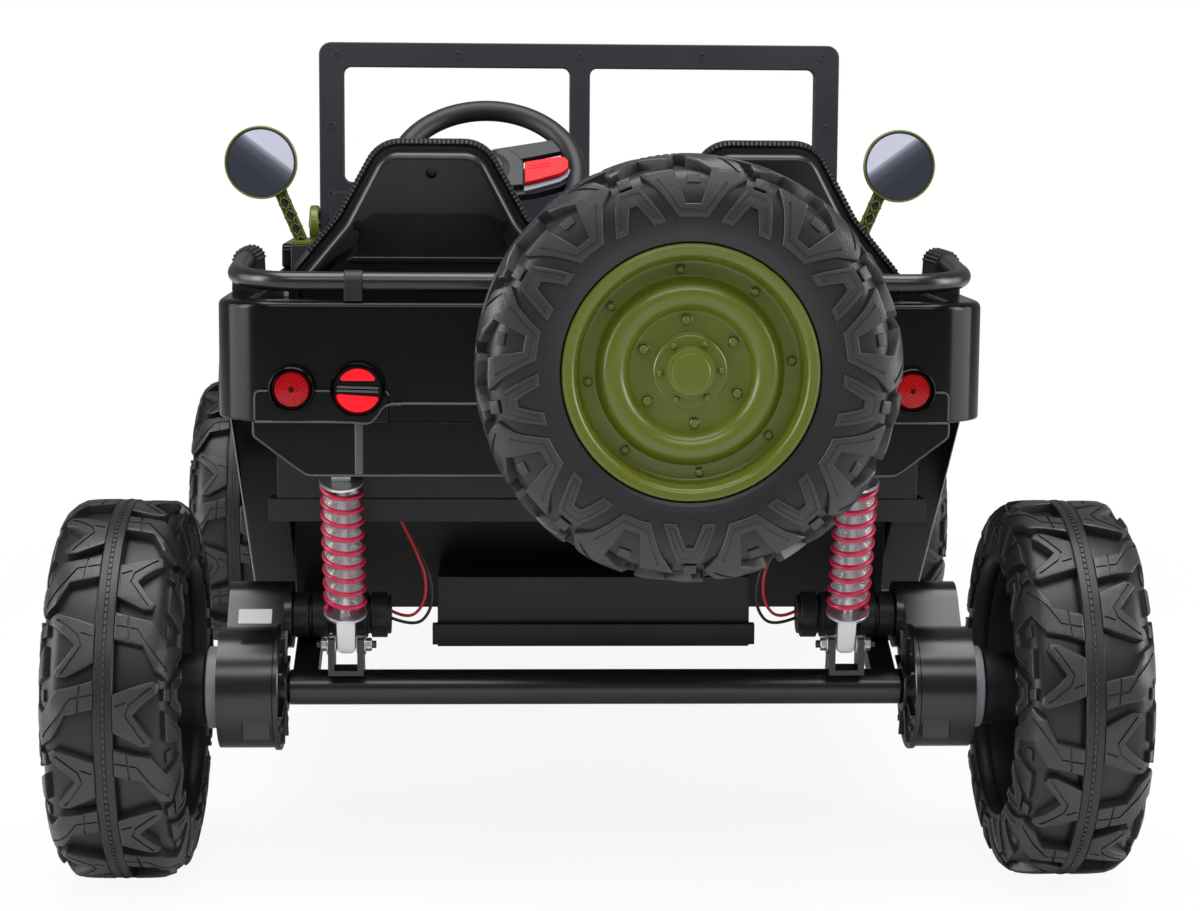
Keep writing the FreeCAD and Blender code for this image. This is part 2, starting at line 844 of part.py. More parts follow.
def make_nose():
    """Slotted grille panel, headlamps, rails and bumper."""
    panel = prism("grille_panel", "XZ_Plane", "grille_y + seat_gap", "grille_y + grille_thick", [
        ("-grille_half", "grille_low"), ("grille_half", "grille_low"),
        ("grille_half", "grille_top"), ("-grille_half", "grille_top")],
        {"bonnet_shoulder": [2, 3]})
    slots = []
    count = int(value("slot_count"))
    for index in range(count):
        middle = f"({index} - (slot_count - 1) / 2) * slot_pitch"
        slots.append(box("slot", (middle + " - slot_width / 2", middle + " + slot_width / 2"),
                         ("grille_y - overshoot", "grille_y + grille_thick + overshoot"), ("slot_low", "slot_high")))
    keep("grille", cut("grille_slotted", panel, slots))
    lamp = turned("headlamp", [
        ("0", "0"), ("0", "headlamp_radius"), ("headlamp_stand - headlamp_edge", "headlamp_radius"),
        ("headlamp_stand", "headlamp_radius - headlamp_edge"), ("headlamp_stand + headlamp_crown", "0")],
        "y", "headlamp_x", "grille_y + grille_thick", "headlamp_z")
    keep("headlamps", pair("headlamp_pair", lamp))
    beam = box("rail_beam", ("rail_inner", "rail_outer"), ("firewall_y", "bumper_y"),
               ("rail_low", "rail_low + rail_high"))
    keep("chassis_rails", pair("rail_pair", beam))
    keep("front_bumper", prism("bumper", "YZ_Plane", "-bumper_half", "bumper_half", [
        ("bumper_y", "bumper_low"), ("bumper_y + bumper_thick", "bumper_low"),
        ("bumper_y + bumper_thick", "bumper_low + bumper_high"), ("bumper_y", "bumper_low + bumper_high")],
        {"bumper_round": [1, 2]}))


def make_rear_axle():
    """Axle tube with the wheel shafts and the trailing arms that reach the floor pan."""
    half = "boss_inner - seat_gap"
    tube = rod("rear_tube", "tube_radius", f"2 * ({half})", "x", f"-({half})", "rear_y", "axle_z")
    reach = "half_track + shaft_in_hub"
    shaft = rod("rear_shaft", "shaft_radius", f"2 * ({reach})", "x", f"-({reach})", "rear_y", "axle_z")
    slope = "(pan_slope_foot - pan_slope_top) / (pan_rear_low - pan_low)"
    end_z = "axle_z + arm_rise"
    end_y = "rear_y + pan_slope_foot - seat_gap * 2 - (" + end_z + " - pan_low {0} arm_half) * " + slope
    arm = prism("trailing_arm", "YZ_Plane", "arm_x - arm_width / 2", "arm_x + arm_width / 2", [
        ("rear_y", "axle_z - arm_half"), (end_y.format("-"), end_z + " - arm_half"),
        (end_y.format("+"), end_z + " + arm_half"), ("rear_y", "axle_z + arm_half")])
    keep("rear_axle", join("rear_axle_whole", [tube, shaft, arm, mirrored(arm)]))


def make_gearboxes():
    drum = rod("gear_drum", "gear_radius", "gear_outer - gear_inner", "x", "gear_inner", "rear_y", "axle_z")
    boss = rod("motor_boss", "boss_radius", "gear_outer - boss_inner - gear_step", "x",
               "boss_inner", "motor_y", "motor_z")
    neck = doc.addObject("Part::Box", "gear_neck")
    neck.setExpression("Length", tied("gear_width - gear_step"))
    neck.setExpression("Height", tied("sqrt(motor_ahead ^ 2 + motor_up ^ 2)"))
    neck.setExpression("Width", tied("boss_radius * 2"))
    lean = math.degrees(math.atan2(value("motor_ahead"), value("motor_up")))
    turn = FreeCAD.Rotation(V(1, 0, 0), -lean)
    foot = point("gear_inner", "rear_y", "axle_z") + turn.multVec(V(0, -value("boss_radius"), 0))
    neck.Placement = FreeCAD.Placement(foot, turn)
    whole = join("gearbox_whole", [drum, boss, neck])
    bore = rod("gear_shaft_bore", "gear_bore", "gear_outer", "x", "1", "rear_y", "axle_z")
    keep("gearboxes", pair("gearbox_pair", cut("gearbox", whole, [bore])))
    ring = cut("drive_ring", rod("ring_disc", "ring_radius", "ring_stand - seat_gap", "x",
                                 "gear_outer + seat_gap", "rear_y", "axle_z"),
               [rod("ring_bore", "gear_bore", "ring_outer * 2", "x", "1", "rear_y", "axle_z")])
    keep("drive_rings", pair("drive_ring_pair", ring))


def make_motors():
    """Finned motor cans that lie across the car, in front of the axle tube."""
    outer = "motor_long"
    core = "motor_radius - fin_depth"
    fins = int(value("motor_fins"))
    profile = [("0", "0"), ("0", core)]
    for index in range(fins):
        start = f"({outer}) * {index} / {fins}"
        profile.append((start + " + fin_depth", core))
        profile.append((start + " + fin_depth", "motor_radius"))
        end = f"({outer}) * ({index} + 1) / {fins}"
        profile.append((end, "motor_radius"))
        if index < fins - 1:
            profile.append((end, core))
    profile.append((outer, "0"))
    motor = turned("motor", profile, "x", "motor_inner", "motor_y", "motor_z")
    keep("motors", pair("motor_pair", motor))


def shock_places():
    """Foot points of the four shock absorbers, named by axle."""
    return (("rear", "rear_y - shock_foot_behind"), ("front", "front_y"))


def shock_turn():
    return FreeCAD.Rotation(V(0, 0, 1), V(0, -value("shock_lean"), value("shock_rise")))


def make_shocks():
    """Rod with washers and straps, clear sleeve and red coil, all leaning back the same way."""
    length = math.hypot(value("shock_lean"), value("shock_rise"))
    low = value("strap_long")
    high = length - low
    washer = value("washer_thick")
    eye = value("bolt_radius + bolt_gap")
    across = V(1, 0, 0)
    along = V(0, 0, 1)

    end = value("strap_end")
    strap_size = [value("strap_width"), value("strap_thick"), low + end]
    rods, sleeves, coils = [], [], []
    for axle, y in shock_places():
        foot = point("shock_x", y, "shock_foot_z")
        spot = FreeCAD.Placement(foot, shock_turn())
        solid = Part.makeCylinder(value("shock_rod"), high - low, V(0, 0, low), along)
        for base, sense in ((0, 1), (length, -1)):
            strap = Part.makeBox(*strap_size, V(-strap_size[0] / 2, -strap_size[1] / 2, -end if sense > 0 else high))
            bolt_hole = Part.makeCylinder(eye, 2 * strap_size[0], V(-strap_size[0], 0, base), across)
            strap = strap.cut(bolt_hole)
            plate_low = low if sense > 0 else high - washer
            plate = Part.makeCylinder(value("shock_washer"), washer, V(0, 0, plate_low), along)
            solid = solid.fuse([strap, plate])
        solid = solid.removeSplitter()
        tube_low = low + washer
        tube_long = high - washer - tube_low
        outer = value("shock_tube")
        inner = outer - value("shock_tube_wall")
        sleeve = Part.makeCylinder(outer, tube_long, V(0, 0, tube_low), along)
        sleeve = sleeve.cut(Part.makeCylinder(inner, tube_long, V(0, 0, tube_low), along))
        wire = value("coil_wire")
        rise = tube_long - 2 * (wire + value("seat_gap"))
        helix = Part.makeHelix(rise / value("coil_turns"), rise, value("coil_radius"))
        circle = Part.Wire(Part.Circle(V(value("coil_radius"), 0, 0), V(0, 1, 0), wire).toShape())
        coil = Part.Wire(helix.Edges).makePipeShell([circle], True, True)
        raised = spot.multiply(FreeCAD.Placement(V(0, 0, tube_low + wire + value("seat_gap")), FreeCAD.Rotation()))
        for shape, shelf, name, where in ((solid, rods, "shock_rod", spot), (sleeve, sleeves, "shock_sleeve", spot),
                                          (coil, coils, "shock_coil", raised)):
            feature = doc.addObject("Part::Feature", f"{name}_{axle}")
            feature.Shape = shape
            feature.Placement = where
            shelf.extend([feature, mirrored(feature)])
    keep("shock_rods", group("shock_rod_set", rods))
    keep("shock_sleeves", group("shock_sleeve_set", sleeves))
    keep("shock_springs", group("shock_spring_set", coils))


def make_shock_brackets():
    """U brackets on the axle tubes, and hangers under the tub and fenders."""
    pieces = []
    half = "bracket_width / 2"
    ear = "bracket_ear"
    for axle, y in shock_places():
        axle_y = "rear_y" if axle == "rear" else "front_y"
        floor = "axle_z + tube_radius"
        low = "shock_foot_z + bolt_radius * 2"
        base = box("bracket_base", (f"shock_x - {half}", f"shock_x + {half}"),
                   (f"{y} - bracket_depth / 2", f"{axle_y} + bracket_lap"), (floor, floor + " + bracket_base"))
        ears = []
        for sense in ("-1", "1"):
            start = f"shock_x + {sense} * ({half}) - {ear} * (1 + {sense}) / 2"
            ears.append(box("bracket_ear", (start, start + f" + {ear}"),
                            (f"{y} - bracket_depth / 2", f"{y} + bracket_depth / 2"), (floor, low)))
        bolt = rod("foot_bolt", "bolt_radius", "bolt_spread * 2", "x", "shock_x - bolt_spread", y, "shock_foot_z")
        pieces.append(join("lower_bracket", [base, bolt] + ears))
        head_y = f"{y} - shock_lean"
        roof = "tub_low" if axle == "rear" else "fender_top - fender_thick"
        hanger = []
        for sense in ("-1", "1"):
            start = f"shock_x + {sense} * ({half}) - {ear} * (1 + {sense}) / 2"
            hanger.append(box("hanger_ear", (start, start + f" + {ear}"),
                              (f"{head_y} - bracket_depth / 4", f"{head_y} + bracket_depth / 2"),
                              ("shock_head_z - bolt_radius * 2", roof)))
        pin = rod("head_bolt", "bolt_radius", half + " * 2", "x", f"shock_x - {half}", head_y, "shock_head_z")
        pieces.append(join("upper_hanger", hanger + [pin]))
    keep("shock_brackets", group("shock_bracket_set", [side for piece in pieces for side in (piece, mirrored(piece))]))


def make_battery_box():
    """The battery in its box, hung behind the footwell, with a flange round its tray."""
    slope = "(pan_slope_foot - pan_slope_top) / (pan_rear_low - pan_low)"
    front = "rear_y + pan_slope_foot - seat_gap"
    block = prism("battery_block", "YZ_Plane", "-battery_half", "battery_half", [
        ("rear_y + battery_back", "battery_low"), (front, "battery_low"), (front, "pan_low"),
        (front + " - (battery_top - pan_low) * " + slope, "battery_top"),
        ("rear_y + battery_back", "battery_top")])
    tray = box("battery_tray", ("-battery_half - tray_proud / 2", "battery_half + tray_proud / 2"),
               ("rear_y + battery_back - tray_proud", "rear_y + battery_back + overshoot"),
               ("battery_low + tray_lift", "battery_low + tray_lift + tray_high"))
    keep("battery_box", join("battery_whole", [block, tray]))


def make_front_axle():
    """Front axle beam with yokes for the kingpins, and leading arms to the floor pan."""
    web_in = "kingpin_x - yoke_web * 2"
    reach = web_in + " + overshoot"
    beam = rod("front_tube", "tube_radius", f"2 * ({reach})", "x", f"-({reach})", "front_y", "axle_z")
    wide = ("front_y - yoke_width / 2", "front_y + yoke_width / 2")
    web = box("yoke_web", (web_in, f"{web_in} + yoke_ear"), wide, ("axle_z - yoke_half", "axle_z + yoke_half"))
    ears = []
    for low in ("axle_z - yoke_half", "axle_z + yoke_half - yoke_ear"):
        ear = box("yoke_ear", (web_in, "kingpin_x + yoke_web - overshoot"), wide, (low, low + " + yoke_ear"))
        ears.append(ear)
    yoke = join("yoke", [web] + ears)
    bore = rod("kingpin_bore", "kingpin_radius + running_gap", "(yoke_half + overshoot) * 2", "z",
               "kingpin_x", "front_y", "axle_z - yoke_half - overshoot")
    yoke = cut("yoke_bored", yoke, [bore])
    arm = prism("leading_arm", "YZ_Plane", "arm_x - arm_width / 2", "arm_x + arm_width / 2", [
        ("front_y", "axle_z + arm_half"), ("firewall_y + seat_gap", "axle_z + arm_rise + arm_half"),
        ("firewall_y + seat_gap", "axle_z + arm_rise - arm_half"), ("front_y", "axle_z - arm_half")])
    keep("front_axle", join("front_axle_whole", [beam, yoke, mirrored(yoke), arm, mirrored(arm)]))


def make_knuckles():
    """Steering knuckles: block, kingpin, stub shaft, and an arm with the tie rod's pin."""
    block_half = "yoke_half - yoke_ear - knuckle_gap"
    block = box("knuckle_core", ("kingpin_x - knuckle_block / 2", "kingpin_x + knuckle_block / 2"),
                ("front_y - knuckle_block / 2", "front_y + knuckle_block / 2"),
                (f"axle_z - ({block_half})", f"axle_z + ({block_half})"))
    pin = rod("kingpin", "kingpin_radius", "yoke_half * 2 + knuckle_gap * 2 + kingpin_over * 2", "z",
              "kingpin_x", "front_y", "axle_z - yoke_half - kingpin_over")
    arm_low = "axle_z + yoke_half + knuckle_gap"
    arm = box("steer_arm_plate", ("kingpin_x - steer_arm_width / 2", "kingpin_x + steer_arm_width / 2"),
              ("tie_y - steer_arm_width / 2", "front_y + steer_arm_width / 2"),
              (arm_low, arm_low + " + steer_arm_thick"))
    stud = rod("tie_pin", "tie_pin_radius", "tie_pin_long", "z", "kingpin_x", "tie_y", arm_low + " + overshoot")
    stub = rod("stub_shaft", "shaft_radius", "half_track + shaft_in_hub - kingpin_x", "x",
               "kingpin_x", "front_y", "axle_z")
    right = join("knuckle_solid", [block, pin, arm, stud, stub])
    keep("knuckle_right", right)
    keep("knuckle_left", mirrored(right))


def make_tie_rod():
    """Tie rod with an eye at each end, and a tongue that reaches back to the column's crank."""
    bar = rod("tie_bar", "tie_rod_radius", "2 * kingpin_x", "x", "-kingpin_x", "tie_y", "tie_z")
    eyes, bores = [], []
    for sense in ("-1", "1"):
        eyes.append(rod("tie_eye", "tie_eye_radius", "tie_eye_half * 2", "z",
                        f"{sense} * kingpin_x", "tie_y", "tie_z - tie_eye_half"))
        bores.append(rod("tie_bore", "tie_pin_radius + running_gap", "tie_eye_half * 4", "z",
                         f"{sense} * kingpin_x", "tie_y", "tie_z - tie_eye_half * 2"))
    crank = crank_foot()
    tongue = box("tie_tongue", ("wheel_x - tongue_width / 2", "wheel_x + tongue_width / 2"),
                 (f"{crank.y} - tongue_width / 2", "tie_y"),
                 ("tie_z - tongue_thick / 2", "tie_z + tongue_thick / 2"))
    keep("tie_rod", cut("tie_rod_bored", join("tie_rod_whole", [bar, tongue] + eyes), bores))


def steering_frame():
    """The steering wheel's own frame: its face looks along local +Z, its top is at local +Y."""
    tilt = value("wheel_tilt")
    return FreeCAD.Placement(point("wheel_x", "wheel_y", "wheel_z"), FreeCAD.Rotation(V(1, 0, 0), 90 - tilt))


def make_steering():
    """Steering wheel, red horn pads, and the column with its crank."""
    frame = steering_frame()
    ring = doc.addObject("Part::Torus", "wheel_ring")
    ring.setExpression("Radius1", tied("wheel_radius"))
    ring.setExpression("Radius2", tied("wheel_rim"))
    hub = rod("wheel_hub", "wheel_hub_radius", "wheel_hub_thick", "z", "0", "0", "-wheel_hub_thick / 2")
    middle = ("-spoke_thick / 2", "spoke_thick / 2")
    cross = box("wheel_spokes", ("-wheel_radius", "wheel_radius"), ("-spoke_width / 2", "spoke_width / 2"), middle)
    lower = box("wheel_low_spoke", ("-spoke_width / 2", "spoke_width / 2"), ("-wheel_radius", "0"), middle)
    wheel = join("steering_wheel_whole", [ring, hub, cross, lower])
    wheel.Placement = frame
    keep("steering_wheel", wheel)
    pads = []
    for sense in ("-1", "1"):
        pad = box("horn_pad", (f"{sense} * horn_x - horn_long / 2", f"{sense} * horn_x + horn_long / 2"),
                  ("-horn_width / 2", "horn_width / 2"), ("spoke_thick / 2", "spoke_thick / 2 + horn_thick"))
        pads.append(pad)
    horn = group("horn_pads", pads)
    horn.Placement = frame
    keep("horn_buttons", horn)
    shaft = column_line("column_shaft", "column_radius")
    crank = slanted_rod("column_crank", "crank_width / 2", column_end(), crank_foot())
    knob = doc.addObject("Part::Sphere", "crank_elbow")
    knob.setExpression("Radius", tied("column_radius"))
    knob.Placement.Base = column_end()
    keep("steering_column", join("column_whole", [shaft, crank, knob]))


def make_windscreen():
    """Flat screen frame with two openings, on pins between round hinge brackets."""
    y = ("screen_y - screen_thick / 2", "screen_y + screen_thick / 2")
    frame = prism("screen_blank", "XZ_Plane", y[0], y[1], [
        ("-screen_half", "screen_low"), ("screen_half", "screen_low"),
        ("screen_half", "screen_top"), ("-screen_half", "screen_top")], {"screen_round": [2, 3]})
    panes = []
    for sense in ("-1", "1"):
        near = f"{sense} * screen_post / 2"
        far = f"{sense} * (screen_half - screen_bar)"
        low, high = (far, near) if sense == "-1" else (near, far)
        panes.append(box("pane", (low, high), ("screen_y - screen_thick", "screen_y + screen_thick"),
                         ("screen_low + screen_sill", "screen_top - screen_bar")))
    bore = "hinge_pin + running_gap"
    panes.append(rod("left_hinge_bore", bore, "hinge_pin_in + overshoot * 2", "x", "-screen_half - overshoot",
                     "screen_y", "hinge_z"))
    panes.append(rod("right_hinge_bore", bore, "hinge_pin_in + overshoot * 2", "x",
                     "screen_half - hinge_pin_in - overshoot", "screen_y", "hinge_z"))
    keep("windscreen_frame", cut("screen_open", frame, panes))
    inner = "screen_half + knuckle_gap"
    disc = rod("hinge_round", "hinge_disc", "hinge_disc_thick", "x", inner, "screen_y", "hinge_z")
    foot = box("hinge_leg", (inner, inner + " + hinge_disc_thick"),
               ("screen_y - hinge_foot / 2", "screen_y + hinge_foot / 2"), ("cowl_top", "hinge_z"))
    trim = box("hinge_trim", (inner + " - overshoot", inner + " + hinge_disc_thick + overshoot"),
               ("screen_y - hinge_disc", "screen_y + hinge_disc"), ("cowl_top - hinge_disc", "cowl_top"))
    pin = rod("hinge_bolt", "hinge_pin", "hinge_pin_in + knuckle_gap", "x",
              "screen_half - hinge_pin_in", "screen_y", "hinge_z")
    bracket = cut("hinge_bracket", join("hinge_whole", [disc, foot, pin]), [trim])
    keep("windscreen_brackets", pair("hinge_pair", bracket))


def make_mirrors():
    """Round mirrors on leaning stalks, which stand on square posts."""
    half = "mirror_post_width / 2"
    post_top = "cowl_top + mirror_post_proud"
    post = box("mirror_stand", (f"mirror_post_x - {half}", f"mirror_post_x + {half}"),
               (f"mirror_y - {half}", f"mirror_y + {half}"), ("cowl_low", post_top))
    keep("mirror_posts", pair("mirror_post_pair", post))
    foot = point("mirror_post_x", "mirror_y", post_top)
    head = point("mirror_x - stalk_in", "mirror_y", "mirror_z - stalk_under")
    base = box("stalk_base", (f"mirror_post_x - {half}", f"mirror_post_x + {half}"),
               (f"mirror_y - {half}", f"mirror_y + {half}"), (post_top, post_top + " + mirror_foot"))
    stalk = slanted_rod("mirror_stalk", "stalk_radius", foot + V(0, 0, value("mirror_foot - overshoot")), head)
    shell = turned("mirror_shell", [
        ("0", "0"), ("0", "mirror_radius"), ("mirror_thick / 2", "mirror_radius"),
        ("mirror_thick", "mirror_dome"), ("mirror_thick", "0")],
        "y", "mirror_x", "mirror_y - mirror_thick / 2", "mirror_z")
    keep("mirrors", pair("mirror_pair", join("mirror_whole", [base, stalk, shell])))
    glass = rod("mirror_disc", "mirror_glass", "mirror_glass_thick", "-y",
                "mirror_x", "mirror_y - mirror_thick / 2", "mirror_z")
    keep("mirror_glasses", pair("mirror_glass_pair", glass))


def bend(points, radius_at):
    """Straight runs joined by tangent arcs, as one wire. radius_at(index) gives each bend's radius."""
    edges = []
    start = points[0]
    for index in range(1, len(points) - 1):
        corner = points[index]
        back = (points[index - 1] - corner).normalize()
        ahead = (points[index + 1] - corner).normalize()
        turn = math.pi - back.getAngle(ahead)
        radius = radius_at(index)
        trim = radius * math.tan(turn / 2)
        first = corner + back * trim
        last = corner + ahead * trim
        toward = (back + ahead).normalize()
        middle = corner + toward * (radius / math.cos(turn / 2) - radius)
        if (first - start).Length > 0.001:
            edges.append(Part.LineSegment(start, first).toShape())
        edges.append(Part.Arc(first, middle, last).toShape())
        start = last
    edges.append(Part.LineSegment(start, points[-1]).toShape())
    return Part.Wire(edges)


def tube(name, wire, radius):
    """A round bar swept along a wire."""
    first = wire.Edges[0]
    start = first.valueAt(first.FirstParameter)
    along = first.tangentAt(first.FirstParameter)
    circle = Part.Wire(Part.Circle(start, along, radius).toShape())
    feature = doc.addObject("Part::Feature", name)
    feature.Shape = wire.makePipeShell([circle], True, False)
    return feature


def make_grab_rail():
    """Bent rail round the back of the tub, its clips, and ribbed end grips on the tub's top."""
    side = ("grab_half", "rear_y + grab_end", "grab_end_z")
    back = ("grab_half", "rear_y - grab_back", "grab_z")
    points = [point("-" + side[0], side[1], side[2]), point("-" + back[0], back[1], back[2]),
              point(*back), point(*side)]
    bar = tube("grab_bar", bend(points, lambda index: value("grab_corner")), value("grab_radius"))
    keep("grab_rail", bar)
    clip = box("rail_clip", ("clip_x - clip_width / 2", "clip_x + clip_width / 2"),
               ("rear_y - grab_back - clip_half", "rear_y - grab_back + clip_half"),
               ("tub_top", "grab_z - grab_radius"))
    half = "grip_width / 2"
    grip = prism("rail_grip", "XZ_Plane", "rear_y + grab_end + seat_gap", "rear_y + grab_end + grip_long", [
        (f"grab_half - {half}", "tub_top"), (f"grab_half + {half}", "tub_top"),
        (f"grab_half + {half}", "tub_top + grip_high"), (f"grab_half - {half}", "tub_top + grip_high")],
        {"grip_round": [2, 3]})
    keep("rail_mounts", group("rail_mount_set", [clip, mirrored(clip), grip, mirrored(grip)]))


def seat_outline(margin, low, top):
    """The backrest seen from behind, centred on the seat."""
    waist = f"seat_half - {margin}"
    neck = f"seat_neck_half - {margin} / 2"
    crown = f"seat_crown - {margin} / 2"
    return [(f"-({waist})", low), (waist, low), (waist, "seat_waist_z"), (neck, "seat_neck_z"), (crown, top),
            (f"-({crown})", top), (f"-({neck})", "seat_neck_z"), (f"-({waist})", "seat_waist_z")]


def make_seats():
    """Bucket seats: a shell with a tapered back and side bolsters, and two pads in it."""
    seat_bottom = "deck_z + seat_gap"
    pan_top = seat_bottom + " + seat_base_thick"
    lean = FreeCAD.Rotation(V(1, 0, 0), value("seat_tilt"))
    pivot = point("0", "seat_y", pan_top)

    def leaned(thing):
        thing.Placement = FreeCAD.Placement(V(), lean, pivot).multiply(thing.Placement)
        return thing

    back = leaned(prism("seat_back_shell", "XZ_Plane", "seat_y", "seat_y + seat_shell_thick",
                        seat_outline("0", pan_top + " - seat_root", "seat_top"), {"seat_top_round": [4, 5]}))
    base = box("seat_base", ("-seat_half", "seat_half"),
               ("seat_y", "seat_y + seat_depth"), (seat_bottom, pan_top))
    bolsters = []
    for sense in ("-1", "1"):
        inner = "seat_half - bolster_thick"
        low, high = ("-seat_half", f"-({inner})") if sense == "-1" else (inner, "seat_half")
        bolsters.append(prism("seat_bolster", "YZ_Plane", low, high, [
            ("seat_y + seat_shell_thick / 2", pan_top + " - seat_root / 2"),
            ("seat_y + bolster_long", pan_top + " - seat_root / 2"),
            ("seat_y + bolster_low_along", pan_top + " + bolster_low"),
            ("seat_y + bolster_mid_along", pan_top + " + bolster_mid"),
            ("seat_y + seat_shell_thick / 2", pan_top + " + bolster_high")]))
    shell = join("seat_shell_whole", [back, base] + bolsters)
    cushion = prism("seat_cushion", "XZ_Plane", "seat_y + seat_shell_thick + back_pad_thick + pad_margin / 2",
                    "seat_y + seat_depth - cushion_set", [
        ("-seat_half + pad_margin", pan_top + " + seat_gap"), ("seat_half - pad_margin", pan_top + " + seat_gap"),
        ("seat_half - pad_margin", pan_top + " + cushion_thick"),
        ("-seat_half + pad_margin", pan_top + " + cushion_thick")], {"pad_round": [2, 3]})
    pad = leaned(prism("seat_back_pad", "XZ_Plane", "seat_y + seat_shell_thick + seat_gap",
                       "seat_y + seat_shell_thick + back_pad_thick",
                       seat_outline("pad_margin", pan_top + " + back_pad_up", "seat_top - pad_margin / 2"),
                       {"seat_top_round": [4, 5]}))
    pads = group("seat_pad_set", [cushion, pad])
    for name, thing in (("seat_shells", shell), ("seat_pads", pads)):
        sides = [shifted(thing, "_" + side, x=f"{sense} * seat_x") for side, sense in (("left", "-1"), ("right", "1"))]
        keep(name, group(name + "_set", sides))


def tyre_profile():
    """Half-hollow toy tyre as (along, radius): open towards the car, a raised band round its middle."""
    wall = "wheel_out - lug_proud"
    base = "tyre_radius - lug_high"
    return [
        (f"-({wall})", "tyre_bore"), (f"-({wall})", "wall_top"), ("-tread_half", "tyre_shoulder"),
        ("-band_half", base), ("-band_half", "tyre_radius"), ("band_half", "tyre_radius"),
        ("band_half", base), ("tread_half", "tyre_shoulder"), (wall, "wall_top"), (wall, "wall_foot"),
        (f"{wall} - bead_lip", "tyre_bead"), ("rim_disc + rim_thick", "tyre_bead"),
        ("rim_disc + rim_thick", "tyre_bore")]


def lug_profile():
    """One lug as (along, radius): across the tread, over the shoulder and down the wall."""
    return [
        ("band_half", "tyre_radius - lug_high - lug_root"), ("band_half", "tyre_radius - lug_low"),
        ("lug_half", "tyre_radius - lug_low - lug_fall"), ("wheel_out", "lug_shoulder"),
        ("wheel_out", "lug_foot"), ("wheel_out - lug_proud - lug_root", "lug_foot")]


def faceted_ring(profile, sides):
    """A profile carried round the X axis in flat steps, with a flat side at the bottom."""
    step = math.tau / sides
    rings = []
    for along, radius in profile:
        reach = value(radius) / math.cos(step / 2)
        angles = [(index + 0.5) * step for index in range(sides)]
        rings.append([V(value(along), reach * math.sin(angle), -reach * math.cos(angle)) for angle in angles])
    faces = []
    for ring, following in zip(rings, rings[1:] + rings[:1]):
        for index in range(sides):
            after = (index + 1) % sides
            corners = [ring[index], ring[after], following[after], following[index], ring[index]]
            faces.append(Part.Face(Part.makePolygon(corners)))
    solid = Part.Solid(Part.makeShell(faces))
    if solid.Volume < 0:
        solid.reverse()
    return solid


def tyre_shape():
    """The tyre at the origin, its open side towards -X, with staggered lugs on both sides of the band."""
    pieces = []
    step = 360 / value("lug_count")
    around = value("lug_around")
    for side, first in ((1, step / 2), (-1, 0)):
        corners = [V(side * value(along), -around / 2, -value(radius)) for along, radius in lug_profile()]
        lug = Part.Face(Part.makePolygon(corners + corners[:1])).extrude(V(0, around, 0))
        for index in range(int(value("lug_count"))):
            turn = FreeCAD.Rotation(V(1, 0, 0), first + index * step)
            pieces.append(lug.transformed(FreeCAD.Placement(V(), turn).Matrix))
    return faceted_ring(tyre_profile(), int(value("tyre_sides"))).fuse(pieces).removeSplitter()


def place_tyre(name, shape, degrees, x, y, z):
    """A tyre whose outer side is turned from +X about the upright axis."""
    feature = doc.addObject("Part::Feature", "tyre_body_" + name)
    feature.Shape = shape
    feature.Placement = FreeCAD.Placement(V(), FreeCAD.Rotation(V(0, 0, 1), degrees))
    place(feature, x, y, z)
    keep("tyre_" + name, feature)


def rim_profile(hub_inner):
    """Dished wheel disc with a round swell, hub and cap, and the hub's sleeve towards the car."""
    half = "wheel_out"
    back = "rim_disc"
    face = "rim_disc + rim_thick"
    bore = "shaft_radius + running_gap"
    bead = "tyre_bead - seat_gap"
    return [
        (f"-{hub_inner}", bore), ("shaft_in_hub + hub_gap", bore),
        ("shaft_in_hub + hub_gap", "0"), ("hub_cap_out", "0"), ("hub_cap_out", "hub_cap_radius"),
        (face + " + dome_rise", "hub_cap_radius + dome_wide"), (face, "hub_cap_radius + dish_foot"),
        (face + " + swell_rise", "rim_well - swell_inner"), (face + " + swell_rise", "rim_well - swell_outer"),
        (face, "rim_well"), (face, "rim_radius - rim_roll"),
        (f"{half} - rim_set", "rim_radius - rim_lip"), (f"{half} - bead_lip", "rim_radius"),
        (face + " + hub_gap", bead), (back, bead), (back, "hub_radius"), (f"-{hub_inner}", "hub_radius")]


def make_wheels():
    """Four road wheels, and the spare on a boss that stands out from the tub's back wall."""
    tyre = tyre_shape()
    corners = (("rear_left", "-x", "-half_track", "rear_y", "rear_hub_inner"),
               ("rear_right", "x", "half_track", "rear_y", "rear_hub_inner"),
               ("front_left", "-x", "-half_track", "front_y", "front_hub_inner"),
               ("front_right", "x", "half_track", "front_y", "front_hub_inner"))
    for name, direction, x, y, hub_inner in corners:
        place_tyre(name, tyre, 180 if direction == "-x" else 0, x, y, "axle_z")
        keep("rim_" + name, turned("rim_body_" + name, rim_profile(hub_inner), direction, x, y, "axle_z"))
    place_tyre("spare", tyre, -90, "spare_x", "spare_y", "spare_z")
    keep("rim_spare", turned("rim_body_spare", rim_profile("rear_hub_inner"), "-y", "spare_x", "spare_y", "spare_z"))
    reach = "back_wall - spare_y - rear_hub_inner"
    boss = rod("spare_post", "spare_boss", reach, "-y", "spare_x", "back_wall", "spare_z")
    shaft = rod("spare_stud", "shaft_radius", "back_wall - spare_y", "-y", "spare_x", "back_wall", "spare_z")
    plate = box("spare_foot", ("spare_x - spare_plate", "spare_x + spare_plate"),
                ("back_wall - spare_plate_thick", "back_wall"),
                ("tub_low + tub_notch_high + spare_plate_gap", "tub_top - tub_edge * 2"))
    keep("spare_bracket", join("spare_bracket_whole", [boss, shaft, plate]))


